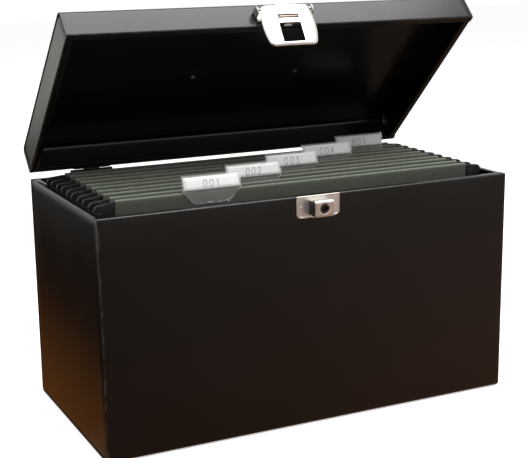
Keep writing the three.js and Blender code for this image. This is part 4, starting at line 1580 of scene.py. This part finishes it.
DIGITS: dict[str, tuple[tuple[Point2, ...], ...]] = {
    "0": (((0, 1), (0.2, 2), (0.8, 2), (1, 1), (0.8, 0), (0.2, 0), (0, 1)),),
    "1": (((0.2, 1.6), (0.6, 2), (0.5, 0)),),
    "2": (((0, 1.6), (0.4, 2), (0.9, 1.7), (0.8, 1.1), (0, 0), (1, 0.05)),),
    "3": (((0.1, 1.9), (0.9, 1.9), (0.4, 1.15), (0.95, 0.7), (0.6, 0), (0, 0.2)),),
    "4": (((0.7, 0), (0.75, 2), (0, 0.7), (1, 0.7)),),
    "5": (((0.95, 2), (0.15, 1.95), (0.1, 1.15), (0.8, 1.1), (0.9, 0.4), (0.4, 0), (0, 0.2)),),
}


@dataclass
class HangingFile:
    """One hanging file: a manila sheet hemmed round two hooked bars, with its tab and card."""

    number: int
    manila: float = 0.6 * MM
    hem_round: float = 1.7 * MM
    hem_tall: float = 13 * MM
    tail_low: float = 3 * MM
    tail_high: float = 2 * MM
    score_half: float = 1.5 * MM
    score_tall: float = 1.2 * MM
    wave: float = 0.5 * MM
    hook_round: float = 5 * MM
    toe_round: float = 1.6 * MM
    nose_wide: float = 2.2 * MM
    nose_gap: float = 0.5 * MM
    seat_gap: float = 0.3 * MM
    shoulder_drop: float = 1 * MM
    shoulder_reach: float = 16 * MM
    rib_thick: float = 0.4 * MM
    rib_wide: float = 0.8 * MM
    rib_pitch: float = 2.4 * MM
    plastic: float = 0.5 * MM
    tab_tall: float = 14 * MM
    tab_foot: tuple[Point2, ...] = ((0.62, 12 * MM), (0.8, 6 * MM), (1.0, 0.6 * MM))
    pocket: float = 1.5 * MM
    card_inset: float = 1.3 * MM
    digit_unit: float = 3.3 * MM
    digit_step: float = 6.2 * MM
    stroke_width: float = 0.45 * MM
    lean: float = math.radians(18)

    def __post_init__(self) -> None:
        """Finds the file's own pieces."""
        self.name = f"file_{self.number}"
        self.front_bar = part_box(f"{self.name}_front_bar")
        self.rear_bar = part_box(f"{self.name}_rear_bar")
        self.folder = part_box(f"{self.name}_folder")

    def build(self) -> None:
        """Makes the folder, both bars, the tab and its card."""
        self.build_folder()
        self.build_bar("front_bar", self.front_bar)
        self.build_bar("rear_bar", self.rear_bar)
        self.build_tab()

    def build_folder(self) -> None:
        """Hangs the sheet: hemmed over both bars, scored along its foot and a little wavy."""
        low, high = self.folder
        front = (self.front_bar[0].y + self.front_bar[1].y) / 2
        rear = (self.rear_bar[0].y + self.rear_bar[1].y) / 2
        reach, bar_low = self.hem_round, self.front_bar[0].z
        top = high.z - self.manila / 2 - reach
        foot = low.z + self.manila / 2
        middle = (front + rear) / 2
        half = [(front + reach * 0.7, bar_low - self.tail_low), (front + reach, bar_low + self.tail_high)]
        half += arc((front, top), reach, 0, 180, 8)
        knee = (front - reach * 0.8, top - self.hem_tall)
        half += dense([(front - reach, top), knee], 3 * MM)[1:]
        half += dense([knee, (middle - 2.4 * MM, foot + 7 * MM)], 20 * MM)[1:]
        half.append((middle - self.score_half, foot + self.score_tall))
        line = [*half, (middle, foot), *((2 * middle - y, z) for y, z in reversed(half))]
        stations = [low.x, low.x + 1.5 * MM]
        stations += spread(low.x + 5 * MM, high.x - 5 * MM, 31)
        stations += [high.x - 1.5 * MM, high.x]
        rows = [[self.hung(x, y, z, top, middle) for y, z in line] for x in stations]
        ends = {0, len(stations) - 1}
        crest = {i for i, (y, z) in enumerate(line) if z > top + reach * 0.5}

        def wear(row: int, column: int) -> float:
            """Returns more wear on the cut ends, and some along the hems."""
            return 1.0 if row in ends else (0.72 if column in crest else 0.0)

        node = f"{self.name}_folder"
        add_piece(f"{node}_sheet", grid(rows, wear), MANILA, self.name, [node], self.manila, None, 60.0)

    def hung(self, x: float, y: float, z: float, top: float, middle: float) -> Vector:
        """Gives a point of the sheet with its slight waves.

        Args:
            x: The place across the file.
            y: The place from front to back.
            z: The height.
            top: The height where the hem starts to turn.
            middle: The middle of the file, from front to back.

        Returns:
            The point; the waves grow below the hem and fade out at the foot.
        """
        below = max(0.0, top - z)
        share = min(1.0, below / (30 * MM)) * min(1.0, max(0.0, (z - 20 * MM) / (60 * MM)))
        seed = self.number * 3.7 + (1.9 if y > middle else 0.0)
        ripple = noise.noise(Vector((x * 11, seed, z * 4)))
        crest = 0.22 * MM * noise.noise(Vector((x * 26, seed, 0.0))) if z > top - 2 * MM else 0.0
        return Vector((x, y + self.wave * (2.2 * share + 0.3) * ripple, z - abs(crest)))

    def build_bar(self, part: str, box: tuple[Vector, Vector]) -> None:
        """Makes one bar, with ribbed hooks that ride on the rails.

        Args:
            part: Which bar.
            box: Its lowest and highest corner.
        """
        low, high = box
        node = f"{self.name}_{part}"
        rail_low, rail_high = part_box("file_rail_right")
        end, foot, top = high.x, low.z, high.z
        inner = rail_low.x - self.nose_gap
        nose = inner + self.nose_wide
        seat = rail_high.z + self.seat_gap
        shoulder = top - self.shoulder_drop
        toe, bend = self.toe_round, self.hook_round
        outline = [(inner, foot), (inner, seat), (nose, seat), (nose, foot)]
        outline = rounded(outline, 0.5 * MM, 3)
        outline += arc((end - toe, foot + toe), toe, -90, 0, 4)
        outline += arc((end - bend, shoulder - bend), bend, 0, 90, 10)
        outline += [(end - self.shoulder_reach, top)]
        outline += [(-x, z) for x, z in reversed(outline)]
        depth = high.y - low.y
        upright = Matrix(((1, 0, 0, 0), (0, 0, 1, low.y), (0, 1, 0, 0), (0, 0, 0, 1)))
        shape = prism(outline, depth, upright)
        for side in (-1, 1):
            shape = shape.plus(*self.hook_ribs(side, end, shoulder, foot, low.y, high.y))
        shape.wear = [0.75] * len(shape.points)
        add_piece(f"{node}_hooked", shape, PLASTIC, self.name, [node], edge=Edge(0.35 * MM, 2))

    def hook_ribs(
        self, side: int, end: float, shoulder: float, foot: float, y0: float, y1: float
    ) -> list[Shape]:
        """Makes the raised ribs on both faces of a hook.

        Args:
            side: Which end of the bar.
            end: How far the hook reaches from the middle.
            shoulder: The height of its shoulder.
            foot: The height of its lower edge.
            y0: The bar's front face.
            y1: The bar's back face.

        Returns:
            The ribs, one piece of geometry for each face.
        """
        bend = (end - self.hook_round, shoulder - self.hook_round)
        rim = arc(bend, 4.2 * MM, -10, 95, 8) + [(end - 12 * MM, shoulder - 0.6 * MM)]
        inner = arc(bend, 3.2 * MM, -10, 95, 8) + [(end - 12 * MM, shoulder - 1.6 * MM)]
        outline = [(side * x, z) for x, z in rim + inner[::-1]]
        result = []
        for y in (y0 - 0.35 * MM, y1 - 0.05 * MM):
            upright = Matrix(((1, 0, 0, 0), (0, 0, 1, y), (0, 1, 0, 0), (0, 0, 0, 1)))
            result.append(prism(outline, self.rib_thick, upright))
            near, far = side * (end - 7 * MM), side * (end - 2 * MM)
            for k in range(2):
                z = foot + 3.2 * MM + k * self.rib_pitch
                bar = [(near, z), (far, z), (far, z + self.rib_wide), (near, z + self.rib_wide)]
                result.append(prism(bar, self.rib_thick, upright))
        return result

    def build_tab(self) -> None:
        """Makes the clear tab, folded over its card, with a tapered foot in front of the hem."""
        low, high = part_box(f"{self.name}_tab")
        half, centre = (high.x - low.x) / 2, (high.x + low.x) / 2
        knee = self.folder[1].z + 0.5 * MM
        bar_y = (self.front_bar[0].y + self.front_bar[1].y) / 2
        base_y = bar_y - self.hem_round - self.manila / 2 - 0.55 * MM
        up = Vector((0, math.sin(self.lean), math.cos(self.lean)))
        out = Vector((0, -math.cos(self.lean), math.sin(self.lean)))
        origin = Vector((centre, base_y, knee))
        tall, pocket = self.tab_tall - self.plastic, self.pocket
        line = [(share, origin - Vector((0, 0, drop))) for share, drop in self.tab_foot]
        line += [(1.0, origin + up * s) for s in spread(0.4 * MM, tall, 6)]
        for angle in (45, 90, 135):
            turn = math.radians(angle)
            lift = math.sin(turn) * pocket / 2
            line.append((1.0, origin + up * (tall + lift) + out * (pocket / 2 * (1 - math.cos(turn)))))
        line += [(1.0, origin + up * s + out * pocket) for s in spread(tall, 1.0 * MM, 5)]
        shares = spread(-1.0, 1.0, 13)
        rows = [[Vector((centre + half * width * t, p.y, p.z)) for t in shares] for width, p in line]

        def wear(row: int, column: int) -> float:
            """Returns more wear round the tab's cut edge."""
            return 1.0 if row in (0, len(rows) - 1) or column in (0, len(shares) - 1) else 0.0

        node = f"{self.name}_tab"
        add_piece(f"{node}_folded", grid(rows, wear), CLEAR, self.name, [node], self.plastic * 0.6, None)
        self.build_card(origin, up, out, tall, half)

    def build_card(self, origin: Vector, up: Vector, out: Vector, tall: float, half: float) -> None:
        """Slips the card into the tab and writes a plain number on it.

        Args:
            origin: The middle of the tab's knee.
            up: The direction up the tab.
            out: The direction out of its front.
            tall: The tab's height.
            half: Half its width.
        """
        pocket, thick = self.pocket, 0.4 * MM
        card_half = half - self.card_inset
        rows = []
        for s in spread(1.2 * MM, tall - 0.8 * MM, 5):
            row = []
            for x in spread(-card_half, card_half, 15):
                bow = 0.15 * MM * noise.noise(Vector((x * 40, self.number * 2.3, s * 60)))
                row.append(origin + up * s + out * (pocket / 2 + bow) + Vector((x, 0, 0)))
            rows.append(row)
        node = f"{self.name}_card"
        add_piece(f"{node}_slip", grid(rows), CARD, self.name, [node], thick, None)
        height, step, lift = self.digit_unit, self.digit_step, pocket / 2 + thick * 0.5 + 0.16 * MM
        shape = Shape([], [], [])
        for k, digit in enumerate(f"00{self.number}"):
            left = (k - 1.4) * step
            for line in DIGITS[digit]:
                corners = [(left + u * height * 1.1 + v * 0.4 * MM, 2.8 * MM + v * height) for u, v in line]
                spots = rounded(corners, 0.8 * MM, 3)
                middle = [origin + Vector((u, 0, 0)) + up * v + out * lift for u, v in spots]
                shape = shape.plus(self.stroke(middle, out, self.stroke_width))
        add_piece(f"{self.name}_number", shape, PENCIL, self.name, sheet=0.05 * MM, edge=None)

    def stroke(self, path: Sequence[Vector], out: Vector, width: float) -> Shape:
        """Draws a flat pencil stroke.

        Args:
            path: Its middle line.
            out: The direction that it faces.
            width: Its width.

        Returns:
            A narrow ribbon.
        """
        rows = []
        for i, point in enumerate(path):
            along = path[min(i + 1, len(path) - 1)] - path[max(i - 1, 0)]
            across = along.normalized().cross(out) * width / 2
            rows.append([point - across, point + across])
        return grid(rows)


# ---------------------------------------------------------------- studio


@dataclass
class Studio:
    """The plain room: a pale floor, an overhead soft light, a white surround and the camera."""

    azimuth: float = math.radians(-25.83)
    elevation: float = math.radians(13.41)
    roll: float = math.radians(-0.73)
    distance: float = 1.2008
    aim: tuple[float, float, float] = (-0.0038, 0.0022, 0.1672)
    lens: float = 82.26
    floor_half: float = 6.0
    floor_lift: float = 0.45
    softbox: float = 1.8
    softbox_place: tuple[float, float, float] = (0.2, -0.3, 1.75)
    softbox_power: float = 45.5
    surround_soft: float = 0.55
    surround_mirrored: float = 0.7
    beside: tuple[tuple[float, Colour], ...] = (
        (0.28, (0.9, 0.9, 0.84)), (0.345, (0.02, 0.018, 0.016)), (0.66, (0.01, 0.005, 0.004)),
        (0.79, (0.24, 0.085, 0.018)), (0.95, (0.12, 0.08, 0.05)),
    )
    before: tuple[tuple[float, Colour], ...] = (
        (0.25, (0.34, 0.25, 0.21)), (0.60, (0.36, 0.22, 0.17)), (0.86, (0.48, 0.23, 0.13)),
    )

    def build(self) -> None:
        """Makes the camera, the floor, the light and the surround."""
        self.build_camera()
        self.build_floor()
        self.build_reflector()
        self.build_light()
        self.build_world()
        bpy.context.scene.view_settings.view_transform = "Standard"

    def build_camera(self) -> None:
        """Aims the camera from its azimuth, elevation, roll and distance."""
        back = Vector((
            math.sin(self.azimuth) * math.cos(self.elevation),
            -math.cos(self.azimuth) * math.cos(self.elevation),
            math.sin(self.elevation),
        ))
        right = Vector((math.cos(self.azimuth), math.sin(self.azimuth), 0.0))
        up = back.cross(right)
        turned_right = right * math.cos(self.roll) + up * math.sin(self.roll)
        turned_up = up * math.cos(self.roll) - right * math.sin(self.roll)
        place = Matrix((turned_right, turned_up, back)).transposed().to_4x4()
        place.translation = Vector(self.aim) + back * self.distance
        data = bpy.data.cameras.new("camera")
        data.lens = self.lens
        data.clip_start, data.clip_end = 0.01, 60.0
        camera = bpy.data.objects.new("camera", data)
        camera.matrix_world = place
        bpy.context.scene.collection.objects.link(camera)
        bpy.context.scene.camera = camera

    def plane(self, name: str, z: float) -> bpy.types.Object:
        """Makes a level square that isn't part of the object.

        Args:
            name: Its name.
            z: Its height.

        Returns:
            The square.
        """
        half = self.floor_half
        mesh = bpy.data.meshes.new(name)
        corners = [(-half, -half, z), (half, -half, z), (half, half, z), (-half, half, z)]
        mesh.from_pydata(corners, [], [(0, 1, 2, 3)])
        plane = bpy.data.objects.new(name, mesh)
        bpy.context.scene.collection.objects.link(plane)
        return plane

    def build_floor(self) -> None:
        """Lays the pale floor, which the glossy paint doesn't mirror."""
        floor = self.plane("floor", -0.0005)
        floor.visible_glossy = False
        material = bpy.data.materials.new("floor")
        material.use_nodes = True
        graph = Graph(material.node_tree)
        shader = material.node_tree.nodes["Principled BSDF"]
        shader.inputs["Base Color"].default_value = (0.9, 0.9, 0.9, 1.0)
        shader.inputs["Roughness"].default_value = 0.9
        shader.inputs["Emission Color"].default_value = (1.0, 1.0, 1.0, 1.0)
        seen = graph.node("LightPath").outputs["Is Camera Ray"]
        lift = graph.math("MULTIPLY", seen, self.floor_lift)
        graph.tree.links.new(lift, shader.inputs["Emission Strength"])
        floor.data.materials.append(material)

    def build_reflector(self) -> None:
        """Lays the warm ground that only the glossy surfaces see."""
        ground = self.plane("ground_glow", -0.0015)
        ground.visible_camera = False
        ground.visible_diffuse = False
        ground.visible_shadow = False
        ground.visible_transmission = False
        material = bpy.data.materials.new("ground_glow")
        material.use_nodes = True
        material.node_tree.nodes.clear()
        graph = Graph(material.node_tree)
        place = graph.node("NewGeometry").outputs["Position"]
        apart = graph.node("SeparateXYZ", {0: place})
        beside = self.ramp(graph, apart.outputs["X"], -1.0, 0.0, self.beside)
        before = self.ramp(graph, apart.outputs["Y"], -1.2, 0.0, self.before)
        ahead = graph.band(apart.outputs["Y"], 0.0, -0.12)
        tone = graph.mix(ahead, beside, before)
        dimmed = graph.math("MULTIPLY_ADD", graph.band(apart.outputs["X"], -0.35, 0.5), -0.6, 0.6)
        strength = graph.math("SUBTRACT", 1.0, graph.math("MULTIPLY", ahead, dimmed))
        emission = graph.node("Emission", {"Color": tone, "Strength": strength})
        graph.node("OutputMaterial", {"Surface": emission.outputs[0]})
        ground.data.materials.append(material)

    def ramp(
        self, graph: Graph, value: bpy.types.NodeSocket, low: float, high: float,
        stops: Sequence[tuple[float, Colour]],
    ) -> bpy.types.NodeSocket:
        """Turns a place into a colour by a ramp.

        Args:
            graph: The nodes to add to.
            value: The place.
            low: The place that the ramp starts at.
            high: The place that it ends at.
            stops: Shares of the ramp's length and their colours.

        Returns:
            The colour.
        """
        share = graph.node("MapRange", {0: value, 1: low, 2: high}).outputs[0]
        made = graph.node("ValToRGB", {0: share})
        made.color_ramp.interpolation = "EASE"
        elements = made.color_ramp.elements
        while len(elements) < len(stops):
            elements.new(0.5)
        for element, (position, colour) in zip(elements, stops):
            element.position, element.color = position, rgba(colour)
        return made.outputs[0]

    def build_light(self) -> None:
        """Hangs the softbox over the box."""
        data = bpy.data.lights.new("softbox", "AREA")
        data.shape = "SQUARE"
        data.size = self.softbox
        data.energy = self.softbox_power
        light = bpy.data.objects.new("softbox", data)
        light.location = self.softbox_place
        bpy.context.scene.collection.objects.link(light)

    def build_world(self) -> None:
        """Surrounds the scene with white for the camera and a dimmer white for the surfaces."""
        world = bpy.data.worlds.new("surround")
        bpy.context.scene.world = world
        world.use_nodes = True
        world.node_tree.nodes.clear()
        graph = Graph(world.node_tree)
        path = graph.node("LightPath")
        seen, mirrored = path.outputs["Is Camera Ray"], path.outputs["Is Glossy Ray"]
        extra = self.surround_mirrored - self.surround_soft
        strength = graph.math("MULTIPLY_ADD", mirrored, extra, self.surround_soft)
        strength = graph.math("MAXIMUM", strength, graph.math("MULTIPLY", seen, 1.05))
        background = graph.node("Background", {"Color": (1.0, 1.0, 1.0, 1.0), "Strength": strength})
        graph.node("OutputWorld", {"Surface": background.outputs[0]})


# ---------------------------------------------------------------- the whole box


def main() -> None:
    """Builds the studio and every sub-assembly."""
    logging.basicConfig(level=logging.INFO, format="%(name)s %(message)s")
    Studio().build()
    lid = lid_place()
    Tray("body", Body.CASE, Matrix(), 1, 4 * MM, 3.4 * MM).build()
    Tray("lid", Body.LID, lid, -1, 6 * MM, 8.5 * MM).build()
    for word, _ in SIDES:
        refine(f"file_rail_{word}", PAINT)
        Hinge(word, lid).build()
    Lock().build()
    Hasp(lid).build()
    Handle(lid).build()
    count = sum(1 for name in NODES if name.endswith("_folder"))
    for number in range(1, count + 1):
        HangingFile(number).build()


if __name__ == "__main__":
    main()
